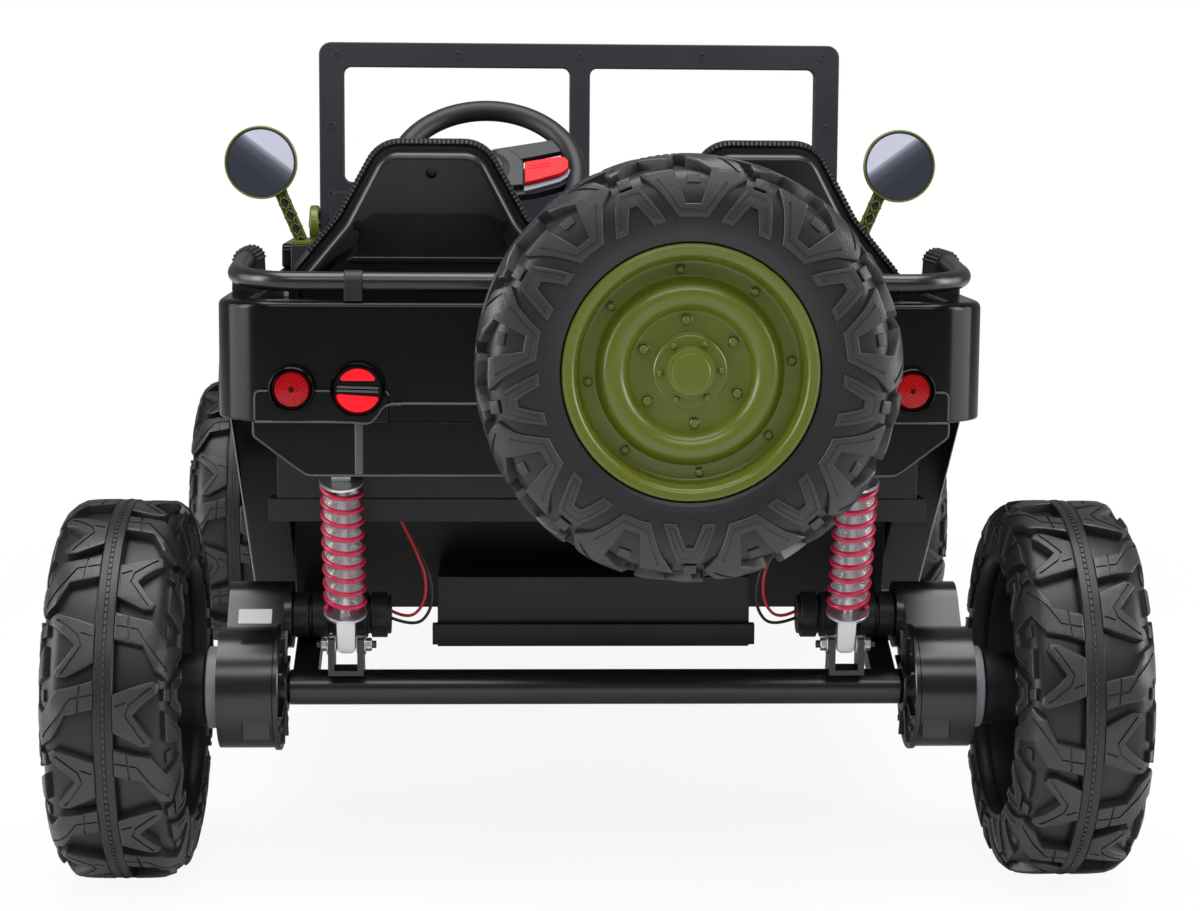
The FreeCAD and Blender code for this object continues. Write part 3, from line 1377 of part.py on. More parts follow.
def lead_route(across, ahead, up):
    """Points of a motor lead on the left, from the motor's end up into the seat box."""
    route = [(0, 0, 0), (14, -2, -7), (27, -5, 6), (29, -7, 28), (20, -7, 52), (7, -7, 78),
             (-6, -7, 108), (-12, -7, 136), (-14, -7, 163)]
    return [V(x + across, y + ahead, z + up) for x, y, z in route]


def make_leads():
    """A red and a black lead at each motor, as straight runs joined by large arcs."""
    top = value("tub_low - pan_wall")
    for colour, across, ahead, up in (("red", 0, 0, 3), ("black", 5, 5, -4)):
        start = point("-motor_inner", "motor_y", "motor_z")
        route = lead_route(start.x + across, start.y + ahead, start.z + up)
        route[0].x = start.x
        route[-1].z = top
        for side, sense in (("left", 1), ("right", -1)):
            points = [V(spot.x * sense, spot.y, spot.z) for spot in route]

            def radius_at(index):
                before = (points[index] - points[index - 1]).Length
                after = (points[index + 1] - points[index]).Length
                turn = (points[index] - points[index - 1]).getAngle(points[index + 1] - points[index])
                return 0.45 * min(before, after) / math.tan(turn / 2)

            radii = [round(radius_at(index), 1) for index in range(1, len(points) - 1)]
            wire = bend(points, radius_at)
            lead = keep(f"lead_{colour}_{side}", tube(f"lead_{colour}_{side}", wire, value("lead_radius")))
            section = math.pi * value("lead_radius") ** 2
            print(lead.Label, "radii", radii, "volume over section times length",
                  round(lead.Shape.Volume / (section * wire.Length), 4))


def write_parts():
    """Checks every object, then writes each sub-part to its own file."""
    doc.recompute()
    for thing in doc.Objects:
        bad = [word for word in thing.State if word in ("Invalid", "Error")]
        if bad:
            raise RuntimeError(f"{thing.Label} is {bad}")
    for name, thing in PARTS:
        shape = thing.Shape
        if shape.isNull() or not shape.isValid() or shape.Volume <= 0:
            raise RuntimeError(f"{name} has no valid shape")
    os.makedirs("parts", exist_ok=True)
    for name, thing in PARTS:
        thing.Shape.exportStep(f"parts/{name}.step")
        bounds = thing.Shape.BoundBox
        print(f"{name:22s} solids {len(thing.Shape.Solids):2d}  x {bounds.XMin:7.1f} {bounds.XMax:7.1f}"
              f"  y {bounds.YMin:7.1f} {bounds.YMax:7.1f}  z {bounds.ZMin:6.1f} {bounds.ZMax:6.1f}")


make_tub()
make_rear_lamps()
make_fascia()
make_floor_pan()
make_side_panels()
make_cowl()
make_bonnet()
make_fenders()
make_nose()
make_rear_axle()
make_gearboxes()
make_motors()
make_shocks()
make_shock_brackets()
make_battery_box()
make_front_axle()
make_knuckles()
make_tie_rod()
make_steering()
make_windscreen()
make_mirrors()
make_grab_rail()
make_seats()
make_wheels()
make_leads()
write_parts()
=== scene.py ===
import bmesh
import bpy
import math
from mathutils import Matrix, Vector


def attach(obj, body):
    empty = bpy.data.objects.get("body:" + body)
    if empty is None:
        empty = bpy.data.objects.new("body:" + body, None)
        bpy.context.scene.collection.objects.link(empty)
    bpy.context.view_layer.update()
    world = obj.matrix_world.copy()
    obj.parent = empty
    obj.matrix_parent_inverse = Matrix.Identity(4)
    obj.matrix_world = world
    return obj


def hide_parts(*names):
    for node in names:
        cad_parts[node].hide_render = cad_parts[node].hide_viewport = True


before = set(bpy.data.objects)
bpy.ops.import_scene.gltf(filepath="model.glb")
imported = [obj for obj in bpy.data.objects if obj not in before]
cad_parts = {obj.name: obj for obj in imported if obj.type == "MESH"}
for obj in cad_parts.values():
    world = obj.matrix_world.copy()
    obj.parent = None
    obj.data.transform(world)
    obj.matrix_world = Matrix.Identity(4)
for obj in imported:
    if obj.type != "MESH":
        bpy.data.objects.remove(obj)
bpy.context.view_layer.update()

# A child's two-seat electric ride-on off-roader, seen from behind.
# Sizes are millimetres and angles degrees unless a comment says otherwise.
# +Y is forward and +X the car's right.
MM = 0.001
PHOTO_WIDTH = 1200
PHOTO_LENS = 2575.6
SENSOR = 36.0
EYE = (-74.5, -2454.4, 600.7)
EYE_YAW, EYE_PITCH, EYE_ROLL = 2.1707, 7.4538, 0.3856
SEEN_DEPTH = 50000
REAR_AXLE, FRONT_AXLE, AXLE_HIGH = -436, 492, 150
MIRROR_X, MIRROR_Z = 306, 557

AXES = {"x": Vector((1, 0, 0)), "y": Vector((0, 1, 0)), "z": Vector((0, 0, 1))}
TURN_TO = {"x": (0, math.pi / 2, 0), "y": (-math.pi / 2, 0, 0), "z": (0, 0, 0)}
MIRROR = Matrix.Scale(-1, 4, AXES["x"])
BOTH_SIDES = (Matrix(), MIRROR)
SHARP, MERGED = 30, 0.001
scene = bpy.context.scene


# Modelling tools
def hold(*pieces):
    """Selects only these pieces and makes the first one active."""
    bpy.ops.object.select_all(action="DESELECT")
    for piece in pieces:
        piece.select_set(True)
    bpy.context.view_layer.objects.active = pieces[0]


def open_mesh(piece):
    hold(piece)
    bpy.ops.object.mode_set(mode="EDIT")


def close_mesh():
    bpy.ops.object.mode_set(mode="OBJECT")


def pick(piece, kind, test):
    """Opens a piece with only those edges or faces selected for which test(item) is true."""
    open_mesh(piece)
    bpy.ops.mesh.select_mode(type=kind)
    bpy.ops.mesh.select_all(action="DESELECT")
    mesh = bmesh.from_edit_mesh(piece.data)
    for item in mesh.edges if kind == "EDGE" else mesh.faces:
        if test(item):
            item.select_set(True)
    mesh.select_flush_mode()
    bmesh.update_edit_mesh(piece.data)


def below(axis, limit):
    """A test for edges that lie wholly below a place on an axis."""
    index = "xyz".index(axis)
    return lambda edge: max(end.co[index] for end in edge.verts) < limit * MM


def above(axis, limit):
    index = "xyz".index(axis)
    return lambda edge: min(end.co[index] for end in edge.verts) > limit * MM


def recalculate():
    bpy.ops.mesh.select_all(action="SELECT")
    bpy.ops.mesh.remove_doubles(threshold=MERGED * MM)
    bpy.ops.mesh.normals_make_consistent(inside=False)


def settled(name):
    """Names the shape just added and keeps its place, turn and scale in its mesh."""
    piece = bpy.context.object
    piece.name = name
    bpy.ops.object.transform_apply(location=True, rotation=True, scale=True)
    return piece


def trace(name, points):
    """A line drawn by extruding one vertex from point to point, left open for editing."""
    bpy.ops.object.select_all(action="DESELECT")
    bpy.ops.mesh.primitive_plane_add(size=MM, location=Vector(points[0]) * MM)
    piece = settled(name)
    bpy.ops.object.mode_set(mode="EDIT")
    bpy.ops.mesh.select_mode(type="VERT")
    bpy.ops.mesh.select_all(action="SELECT")
    bpy.ops.mesh.merge(type="CENTER")
    for before, after in zip(points, points[1:]):
        step = (Vector(after) - Vector(before)) * MM
        bpy.ops.mesh.extrude_region_move(TRANSFORM_OT_translate={"value": step})
    return piece


def in_space(axis, along, pair):
    """The point at a place along an axis and a pair of places across it."""
    spot = list(pair)
    spot.insert("xyz".index(axis), along)
    return Vector(spot)


def rounded(points, radii, steps=6):
    """An outline whose corners are rounded by the radii given, one for each corner."""
    outline = []
    for index, radius in enumerate(radii):
        corner = Vector(points[index])
        if not radius:
            outline.append(tuple(corner))
            continue
        back = (Vector(points[index - 1]) - corner).normalized()
        ahead = (Vector(points[(index + 1) % len(points)]) - corner).normalized()
        half = back.angle(ahead) / 2
        hub = corner + (back + ahead).normalized() * radius / math.sin(half)
        first = corner + back * radius / math.tan(half) - hub
        last = corner + ahead * radius / math.tan(half) - hub
        for step in range(steps + 1):
            outline.append(tuple(hub + first.lerp(last, step / steps).normalized() * radius))
    return outline


def slab(name, axis, low, high, outline, radii=(), steps=6):
    """An outline, its corners rounded if radii are given, pulled between two places on an axis."""
    if radii:
        outline = rounded(outline, radii, steps)
    piece = trace(name, [in_space(axis, low, pair) for pair in outline])
    bpy.ops.mesh.select_all(action="SELECT")
    bpy.ops.mesh.edge_face_add()
    bpy.ops.mesh.extrude_region_move(TRANSFORM_OT_translate={"value": AXES[axis] * (high - low) * MM})
    recalculate()
    close_mesh()
    return piece


def block(name, low, high):
    """A block between two corners."""
    low, high = Vector(low), Vector(high)
    bpy.ops.object.select_all(action="DESELECT")
    bpy.ops.mesh.primitive_cube_add(size=1, location=(low + high) / 2 * MM)
    bpy.context.object.scale = (high - low) * MM
    return settled(name)


def disc(name, axis, low, high, centre, radius, sides=32):
    """A round bar along an axis. centre gives its two places across that axis."""
    bpy.ops.object.select_all(action="DESELECT")
    spot = in_space(axis, (low + high) / 2, centre)
    bpy.ops.mesh.primitive_cylinder_add(vertices=sides, radius=radius * MM, depth=abs(high - low) * MM,
                                        location=spot * MM, rotation=TURN_TO[axis])
    return settled(name)


def spun(name, axis, centre, profile, steps=64):
    """A profile of (along, radius) places spun about an axis through a point."""
    centre = Vector(centre)
    out = AXES["z"] if axis != "z" else AXES["x"]
    piece = trace(name, [centre + AXES[axis] * along + out * radius for along, radius in profile])
    bpy.ops.mesh.select_all(action="SELECT")
    bpy.ops.mesh.spin(steps=steps, angle=math.tau, center=centre * MM, axis=AXES[axis])
    recalculate()
    close_mesh()
    return piece


def sharp(edge):
    return len(edge.link_faces) == 2 and edge.calc_face_angle() > math.radians(SHARP)


def bevelled(piece, width, segments=2, test=sharp):
    """Rounds the edges for which test(edge) is true."""
    pick(piece, "EDGE", test)
    bpy.ops.mesh.bevel(offset=width * MM, segments=segments, affect="EDGES", clamp_overlap=True)
    close_mesh()
    return piece


def sunk_face(piece, test, steps):
    """Insets the faces for which test(face) is true, once for each (width, depth)."""
    pick(piece, "FACE", test)
    for width, depth in steps:
        bpy.ops.mesh.inset(thickness=width * MM, depth=depth * MM, use_boundary=True)
    close_mesh()
    return piece


def moved(piece, matrix):
    """Moves a piece's mesh by a matrix in metres."""
    piece.data.transform(matrix)
    if matrix.determinant() < 0:
        piece.data.flip_normals()
    return piece


def copied(piece, name, matrix):
    """A copy with its own mesh, moved by a matrix in metres."""
    twin = piece.copy()
    twin.data = piece.data.copy()
    twin.name = name
    scene.collection.objects.link(twin)
    return moved(twin, matrix)


def shift(x=0, y=0, z=0):
    return Matrix.Translation(Vector((x, y, z)) * MM)


def turned(angle, axis="X"):
    """A turn in degrees about an axis through the origin."""
    return Matrix.Rotation(math.radians(angle), 4, axis)


def about(centre, angle, axis):
    """A turn in degrees about an axis through a point."""
    spot = Matrix.Translation(Vector(centre) * MM)
    return spot @ turned(angle, axis) @ spot.inverted()


def joined(name, pieces):
    hold(*pieces)
    bpy.ops.object.join()
    pieces[0].name = name
    return pieces[0]


def finished(piece, kind, **settings):
    """Adds a modifier to a piece and applies it."""
    hold(piece)
    change = piece.modifiers.new(kind.lower(), kind)
    for name, setting in settings.items():
        setattr(change, name, setting)
    bpy.ops.object.modifier_apply(modifier=change.name)
    return piece


def eased(piece, width, segments, angle):
    """Rounds every edge sharper than an angle."""
    return finished(piece, "BEVEL", width=width * MM, segments=segments, limit_method="ANGLE",
                    angle_limit=math.radians(angle))


def carved(piece, *cutters):
    """Takes the cutters' shapes out of a piece."""
    for cutter in cutters:
        finished(piece, "BOOLEAN", operation="DIFFERENCE", solver="EXACT", object=cutter)
        bpy.data.objects.remove(cutter)
    return piece


def softened(node, width):
    """A CAD node's own shape with its sharp edges rounded."""
    piece = bpy.data.objects.new("soft_" + node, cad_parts[node].data.copy())
    scene.collection.objects.link(piece)
    open_mesh(piece)
    recalculate()
    bpy.ops.mesh.dissolve_limited(angle_limit=math.radians(1))
    close_mesh()
    return eased(piece, width, 3, 32)


def fitted(piece, material, replaced=None, body="chassis", angle=35):
    """Finishes a piece: shading, finish, the body it rides on and the CAD node it replaces."""
    hold(piece)
    bpy.ops.object.shade_smooth_by_angle(angle=math.radians(angle))
    finished(piece, "WEIGHTED_NORMAL", keep_sharp=True)
    piece.data.materials.clear()
    piece.data.materials.append(material)
    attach(piece, body)
    if replaced:
        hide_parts(replaced)


def fitted_pair(name, pattern, material, replaced=None):
    """Joins a piece with its mirror image and finishes the two as one."""
    fitted(joined(name, [pattern, copied(pattern, name + "_left", MIRROR)]), material, replaced)


def rounded_line(points, times):
    """Cuts the corners of an open line, over and over, into a smooth curve."""
    points = [Vector(point) for point in points]
    for _ in range(times):
        cut = [points[0]]
        for before, after in zip(points, points[1:]):
            cut += [before.lerp(after, 0.25), before.lerp(after, 0.75)]
        points = cut + [points[-1]]
    return points


def strip(points, width):
    """The outline of a strip of even width along a line."""
    line = [Vector(point) for point in points]
    sides = [[], []]
    for index, spot in enumerate(line):
        run = line[min(index + 1, len(line) - 1)] - line[max(index - 1, 0)]
        normal = Vector((-run.y, run.x)).normalized() * width / 2
        sides[0].append(spot + normal)
        sides[1].append(spot - normal)
    return [tuple(spot) for spot in sides[0] + sides[1][::-1]]


def arc(radius, start, end, steps):
    """Places on an arc about the origin, in degrees from the first axis towards the second."""
    angles = [math.radians(start + (end - start) * index / steps) for index in range(steps + 1)]
    return [(radius * math.cos(angle), radius * math.sin(angle)) for angle in angles]


def placed_at(centre, places):
    return [(centre[0] + across, centre[1] + up) for across, up in places]


# Finishes; grain is cells per metre, patches are patches per metre
def feed(tree, target, inputs):
    """Gives each input socket of a node another node's output, or a value."""
    for label, source in inputs.items():
        if isinstance(source, bpy.types.NodeSocket):
            tree.links.new(source, target.inputs[label])
        else:
            target.inputs[label].default_value = source


def node(tree, kind, inputs, **settings):
    """A new shader node with its settings and inputs."""
    added = tree.nodes.new("ShaderNode" + kind)
    for name, setting in settings.items():
        setattr(added, name, setting)
    feed(tree, added, inputs)
    return added


SOCKETS = {float: "NodeSocketFloat", 3: "NodeSocketVector", 4: "NodeSocketColor"}


def group_nodes(name, inputs, outputs):
    """A shader node group with named sockets, the outputs of its input node, and its output node."""
    group = bpy.data.node_groups.new(name, "ShaderNodeTree")
    for label, start in inputs.items():
        kind = SOCKETS[float if isinstance(start, float) else len(start)]
        group.interface.new_socket(label, in_out="INPUT", socket_type=kind).default_value = start
    for label, kind in outputs.items():
        group.interface.new_socket(label, in_out="OUTPUT", socket_type=SOCKETS[kind])
    return group, group.nodes.new("NodeGroupInput").outputs, group.nodes.new("NodeGroupOutput")


def make_grain_group():
    """Leather-like moulded grain: small rounded cells over a faint unevenness."""
    group, given, end = group_nodes(
        "moulded_grain", {"Vector": (0, 0, 0), "Cells per metre": 900.0, "Unevenness": 0.3},
        {"Height": float, "Mask": float})
    cells = node(group, "TexVoronoi", {"Vector": given["Vector"], "Scale": given["Cells per metre"]},
                 feature="SMOOTH_F1")
    slow = node(group, "Math", {0: given["Cells per metre"], 1: 0.12}, operation="MULTIPLY")
    noise = node(group, "TexNoise", {"Vector": given["Vector"], "Scale": slow.outputs[0], "Detail": 3.0})
    mix = node(group, "Mix", {0: given["Unevenness"], 2: cells.outputs["Distance"], 3: noise.outputs["Fac"]},
               data_type="FLOAT")
    feed(group, end, {"Height": mix.outputs[0], "Mask": noise.outputs["Fac"]})
    return group


def make_tone_group():
    """Two close tones of one colour, in soft patches."""
    group, given, end = group_nodes(
        "soft_tones", {"Vector": (0, 0, 0), "Light": (1, 1, 1, 1), "Dark": (0, 0, 0, 1),
                       "Patches per metre": 12.0}, {"Color": 4, "Mask": float})
    noise = node(group, "TexNoise", {"Vector": given["Vector"], "Scale": given["Patches per metre"],
                                     "Detail": 4.0})
    mix = node(group, "Mix", {0: noise.outputs["Fac"], 6: given["Dark"], 7: given["Light"]}, data_type="RGBA")
    feed(group, end, {"Color": mix.outputs[2], "Mask": noise.outputs["Fac"]})
    return group


GRAIN = make_grain_group()
TONES = make_tone_group()


def finish_of(name, slot, dark, light, roughness, grain, bump=0.1, depth=0.2, spread=0.08, shine=0.5,
              uneven=0.3, patches=12.0, **constants):
    """A moulded finish: two close tones, grain in the surface, and roughness that drifts a little."""
    material = bpy.data.materials.new(name)
    material.use_nodes = True
    tree = material.node_tree
    place = node(tree, "TexCoord", {}).outputs["Object"]
    tones = node(tree, "Group", {"Vector": place, "Dark": (*dark, 1), "Light": (*light, 1),
                                 "Patches per metre": patches}, node_tree=TONES)
    cells = node(tree, "Group", {"Vector": place, "Cells per metre": grain, "Unevenness": uneven},
                 node_tree=GRAIN)
    rough = node(tree, "MapRange", {"Value": tones.outputs["Mask"], "To Min": roughness - spread,
                                    "To Max": roughness + spread})
    relief = node(tree, "Bump", {"Strength": bump, "Distance": depth * MM, "Height": cells.outputs["Height"]})
    feed(tree, tree.nodes["Principled BSDF"], {
        "Base Color": tones.outputs["Color"], "Roughness": rough.outputs["Result"],
        "Normal": relief.outputs["Normal"], "Specular IOR Level": shine,
        **{label.replace("_", " "): number for label, number in constants.items()}})
    return material


def ramped(material, value, stops, rough, painted_glow):
    """Colours a finish by a ramp over a value, and gives it a painted glow in the same colours: light that no
    lamp gives.
    """
    tree = material.node_tree
    shader = tree.nodes["Principled BSDF"]
    ramp = node(tree, "ValToRGB", {"Fac": value})
    while len(ramp.color_ramp.elements) < len(stops):
        ramp.color_ramp.elements.new(0.5)
    for stop, (place, colour) in zip(ramp.color_ramp.elements, stops):
        stop.position, stop.color = place, (*colour, 1)
    for link in list(shader.inputs["Roughness"].links):
        tree.links.remove(link)
    feed(tree, shader, {"Roughness": rough, "Emission Strength": painted_glow, "Base Color": ramp.outputs["Color"],
                        "Emission Color": ramp.outputs["Color"]})
    return material


gloss_black = finish_of("gloss_black_plastic", "body_black", (0.002, 0.002, 0.0023), (0.0028, 0.0028, 0.0032),
                        0.17, 140, 0.06, 0.3, 0.03, 0.2)
# A lighter black for the tub's beads and the lamp bars: a painted highlight, for light caught along their
# edges.
painted_highlight_black = finish_of("black_edge_painted_highlight", "body_black", (0.05, 0.052, 0.056), (0.06, 0.062, 0.066),
                       0.3, 300, 0.05, shine=0.6)
gear_black = finish_of("gear_housing_plastic", "body_black", (0.006, 0.006, 0.007), (0.009, 0.009, 0.01),
                       0.24, 900, 0.12, 0.1, 0.05)
matte_black = finish_of("matte_black_plastic", "body_matte", (0.01, 0.0105, 0.0125), (0.014, 0.0145, 0.017),
                        0.42, 1500, 0.25, 0.12, shine=0.3)
shell_black = finish_of("seat_shell_plastic", "body_matte", (0.0045, 0.005, 0.0062), (0.006, 0.0066, 0.008),
                        0.3, 1500, 0.2, 0.1, shine=0.45)
frame_black = finish_of("screen_black_plastic", "body_matte", (0.013, 0.013, 0.018), (0.018, 0.018, 0.024),
                        0.5, 1800, 0.3, 0.1, shine=0.35)
rubber = finish_of("tyre_rubber", "tyre", (0.014, 0.0145, 0.017), (0.022, 0.023, 0.026),
                   0.42, 620, 0.7, 0.3, 0.1)
# The rubber between the lugs is the lug rubber painted darker: painted shade in the hollows of the tread.
rubber_painted_shade = finish_of("tyre_rubber_painted_shade", "tyre", (0.007, 0.0073, 0.0088), (0.012, 0.0124, 0.0145),
                        0.4, 260, 0.15, shine=0.4)
olive = finish_of("olive_plastic", "olive", (0.085, 0.101, 0.008), (0.097, 0.115, 0.011),
                  0.26, 120, 0.05, 0.3, 0.04, 0.42)
black_metal = finish_of("black_painted_steel", "steel_black", (0.006, 0.006, 0.007), (0.009, 0.009, 0.01),
                        0.26, 200, 0.06, spread=0.05)
zinc = finish_of("zinc_plate", "zinc", (0.5, 0.5, 0.52), (0.68, 0.68, 0.7), 0.34, 500, 0.12, 0.1,
                 patches=60.0, Metallic=0.9)
coil_red = finish_of("coil_red", "coil_red", (0.46, 0.008, 0.05), (0.56, 0.012, 0.065), 0.28, 200, 0.05)
lens_red = finish_of("lens_red", "red_lens", (0.55, 0.003, 0.008), (0.7, 0.005, 0.012), 0.16, 900, 0.3,
                     shine=0.25, Emission_Color=(1, 0.012, 0.024, 1), Emission_Strength=0.5)
horn_red = finish_of("horn_red", "horn_red", (0.62, 0.006, 0.01), (0.68, 0.009, 0.014), 0.4, 1500, shine=0.15)
grey_plastic = finish_of("grey_plastic", "grey_plastic", (0.3, 0.31, 0.34), (0.38, 0.39, 0.42), 0.38, 700)
lip_grey = finish_of("lip_grey_plastic", "grey_plastic", (0.09, 0.1, 0.13), (0.12, 0.13, 0.16), 0.35, 700)
nylon = finish_of("white_nylon", "grey_plastic", (0.5, 0.51, 0.55), (0.6, 0.61, 0.65), 0.35, 700)
label_white = finish_of("blank_label", "grey_plastic", (0.7, 0.7, 0.71), (0.78, 0.78, 0.79), 0.5, 900, 0.05)
pad_skin = finish_of("seat_pad_skin", "seat_pad", (0.012, 0.0125, 0.015), (0.018, 0.0185, 0.021),
                     0.5, 420, 0.5, 0.35, shine=0.35, uneven=0.2)
lamp_glass = finish_of("headlamp_glass", "headlamp", (0.55, 0.56, 0.58), (0.65, 0.66, 0.68), 0.12, 300, 0.3)
sleeve_clear = finish_of("clear_sleeve", "clear_sleeve", (0.82, 0.8, 0.83), (0.9, 0.88, 0.9), 0.12, 100, 0.05,
                         spread=0.02, Transmission_Weight=0.85, IOR=1.3)
wire_red = finish_of("wire_red", "lead_red", (0.45, 0.006, 0.012), (0.55, 0.01, 0.016), 0.4, 500)
wire_black = finish_of("wire_black", "lead_black", (0.008, 0.008, 0.009), (0.012, 0.012, 0.013), 0.4, 500)


def make_mirror_glass():
    """Silvered glass with a painted reflection in its colour: pale towards the top inner side, dark towards
    the lower outer side, and a painted glow in the same colours.
    """
    grey = (0.1, 0.1, 0.1)
    fall_across, rise_up, at_middle = 9.9, 13.4, 0.5
    material = finish_of("mirror_glass", "mirror", grey, grey, 0.2, 10, 0.0, Metallic=1.0)
    tree = material.node_tree
    split = node(tree, "SeparateXYZ", {0: tree.nodes["Texture Coordinate"].outputs["Object"]})
    outward = node(tree, "Math", {0: split.outputs["X"]}, operation="ABSOLUTE")
    across = node(tree, "Math", {0: outward.outputs[0], 1: -fall_across, 2: at_middle
                                 + fall_across * MIRROR_X * MM - rise_up * MIRROR_Z * MM},
                  operation="MULTIPLY_ADD")
    tone = node(tree, "Math", {0: split.outputs["Z"], 1: rise_up, 2: across.outputs[0]},
                operation="MULTIPLY_ADD")
    # These stops are the painted reflection: darker low and outside, pale high and inside.
    return ramped(material, tone.outputs[0], [
        (0.3, (0.035, 0.038, 0.052)), (0.5, (0.05, 0.053, 0.07)), (0.62, (0.11, 0.113, 0.145)),
        (0.69, (0.3, 0.305, 0.37)), (0.72, (0.55, 0.56, 0.68))], 0.3, 0.62)


def make_reflector_red():
    """A grid of small slanted prisms under red plastic. The grid is the prisms' own, but its light is
    painted: each prism is bright red in its middle, a painted glint, and dark towards its edges, painted
    shade, with a painted glow as well.
    """
    grey = (0.1, 0.1, 0.1)
    material = finish_of("reflector_red", "red_lens", grey, grey, 0.2, 1100, 0.3, shine=0.25)
    tree = material.node_tree
    place = node(tree, "Mapping", {"Vector": tree.nodes["Texture Coordinate"].outputs["Object"],
                                   "Rotation": (0, math.radians(-28), 0), "Scale": (1.0, 0.0, 1.3)})
    prisms = node(tree, "TexVoronoi", {"Vector": place.outputs["Vector"], "Scale": 480.0, "Randomness": 0.0},
                  distance="CHEBYCHEV")
    # Bright prism middles are a painted glint, dark prism edges are painted shade.
    return ramped(material, prisms.outputs["Distance"], [
        (0.0, (0.6, 0.003, 0.008)), (0.34, (0.36, 0.001, 0.004)), (0.46, (0.04, 0.0002, 0.001))], 0.16, 0.2)


mirror_glass = make_mirror_glass()
reflector_red = make_reflector_red()


# Camera, floor and light; lengths of the floor and the lamps are metres
def make_camera():
    lens = bpy.data.cameras.new("rear_view")
    lens.sensor_width = SENSOR
    lens.lens = PHOTO_LENS / PHOTO_WIDTH * SENSOR
    lens.clip_end = SEEN_DEPTH * MM
    camera = bpy.data.objects.new("rear_view", lens)
    camera.matrix_world = shift(*EYE) @ turned(-EYE_YAW, "Z") @ turned(90 - EYE_PITCH) @ turned(EYE_ROLL, "Z")
    scene.collection.objects.link(camera)
    scene.camera = camera


def seen_share(tree):
    """1 for what the camera sees, straight on or through clear plastic."""
    path = node(tree, "LightPath", {}).outputs
    either = node(tree, "Math", {0: path["Is Camera Ray"], 1: path["Is Transmission Ray"]},
                  operation="MAXIMUM")
    return either.outputs[0]


def make_world(level):
    """A dim even world that looks white where it is seen."""
    scene.world = bpy.data.worlds.new("studio")
    scene.world.use_nodes = True
    tree = scene.world.node_tree
    plain = tree.nodes["Background"]
    feed(tree, plain, {"Color": (1, 1, 1, 1), "Strength": level})
    seen = node(tree, "Background", {"Color": (1, 1, 1, 1)})
    mix = node(tree, "MixShader", {0: seen_share(tree), 1: plain.outputs[0], 2: seen.outputs[0]})
    feed(tree, tree.nodes["World Output"], {0: mix.outputs[0]})


def make_floor(radius, fade_from, fade_to, kept_white):
    """A pale floor that fades to white away from the car, and keeps its shadow."""
    bpy.ops.object.select_all(action="DESELECT")
    bpy.ops.mesh.primitive_circle_add(vertices=96, radius=radius, fill_type="NGON", location=(0, 0, 0))
    floor = bpy.context.object
    floor.name = "studio_floor"
    material = bpy.data.materials.new("floor_white")
    material.use_nodes = True
    tree = material.node_tree
    shader = tree.nodes["Principled BSDF"]
    feed(tree, shader, {"Base Color": (0.86, 0.86, 0.86, 1), "Roughness": 0.7, "Specular IOR Level": 0.1})
    place = node(tree, "TexCoord", {})
    reach = node(tree, "VectorMath", {0: place.outputs["Object"]}, operation="LENGTH")
    fade = node(tree, "MapRange", {"Value": reach.outputs["Value"], "From Min": fade_from,
                                   "From Max": fade_to, "To Min": kept_white})
    both = node(tree, "Math", {0: fade.outputs["Result"], 1: seen_share(tree)}, operation="MULTIPLY")
    white = node(tree, "Emission", {})
    mix = node(tree, "MixShader", {0: both.outputs[0], 1: shader.outputs[0], 2: white.outputs[0]})
    feed(tree, tree.nodes["Material Output"], {0: mix.outputs[0]})
    floor.data.materials.append(material)


def make_lamp(name, spot, target, size, power, shine_only=False):
    """A rectangular lamp. One that is shine_only shows in reflections and lights nothing else."""
    lamp = bpy.data.lights.new(name, "AREA")
    lamp.shape = "RECTANGLE"
    lamp.size, lamp.size_y = size
    lamp.energy = power
    holder = bpy.data.objects.new(name, lamp)
    aim = Vector(target) - Vector(spot)
    holder.matrix_world = Matrix.Translation(Vector(spot)) @ aim.to_track_quat("-Z", "Y").to_matrix().to_4x4()
    holder.visible_diffuse = not shine_only
    scene.collection.objects.link(holder)


make_camera()
make_world(0.24)
make_floor(14, 0.3, 1.5, 0.9)
make_lamp("top_softbox", (0, -0.6, 3.0), (0, -0.1, 0.3), (2.4, 2.0), 95)
make_lamp("rear_softbox", (0, -3.6, 3.0), (0, -0.4, 0.3), (3.0, 1.0), 45)
make_lamp("left_softbox", (-3.0, -1.6, 1.5), (0, -0.2, 0.3), (1.0, 2.4), 55)
make_lamp("right_softbox", (3.0, -1.4, 1.6), (0, -0.2, 0.3), (1.0, 2.4), 50)
make_lamp("left_shine", (-2.6, -0.9, 0.8), (0, -0.4, 0.4), (2.2, 1.6), 36, True)
make_lamp("right_shine", (2.6, -0.9, 0.8), (0, -0.4, 0.4), (2.2, 1.6), 36, True)
scene.view_settings.view_transform = "Standard"

# Motor leads, from each motor's end up into the seat box
LEAD_ROUTE = [(0, 0, 0), (14, -2, -7), (27, -5, 6), (29, -7, 28), (20, -7, 52), (7, -7, 78),
              (-6, -7, 108), (-12, -7, 136), (-14, -7, 163)]
LEAD_START = (-165, -391, 200)
LEAD_TOP = 367
LEAD_RADIUS = 1.3


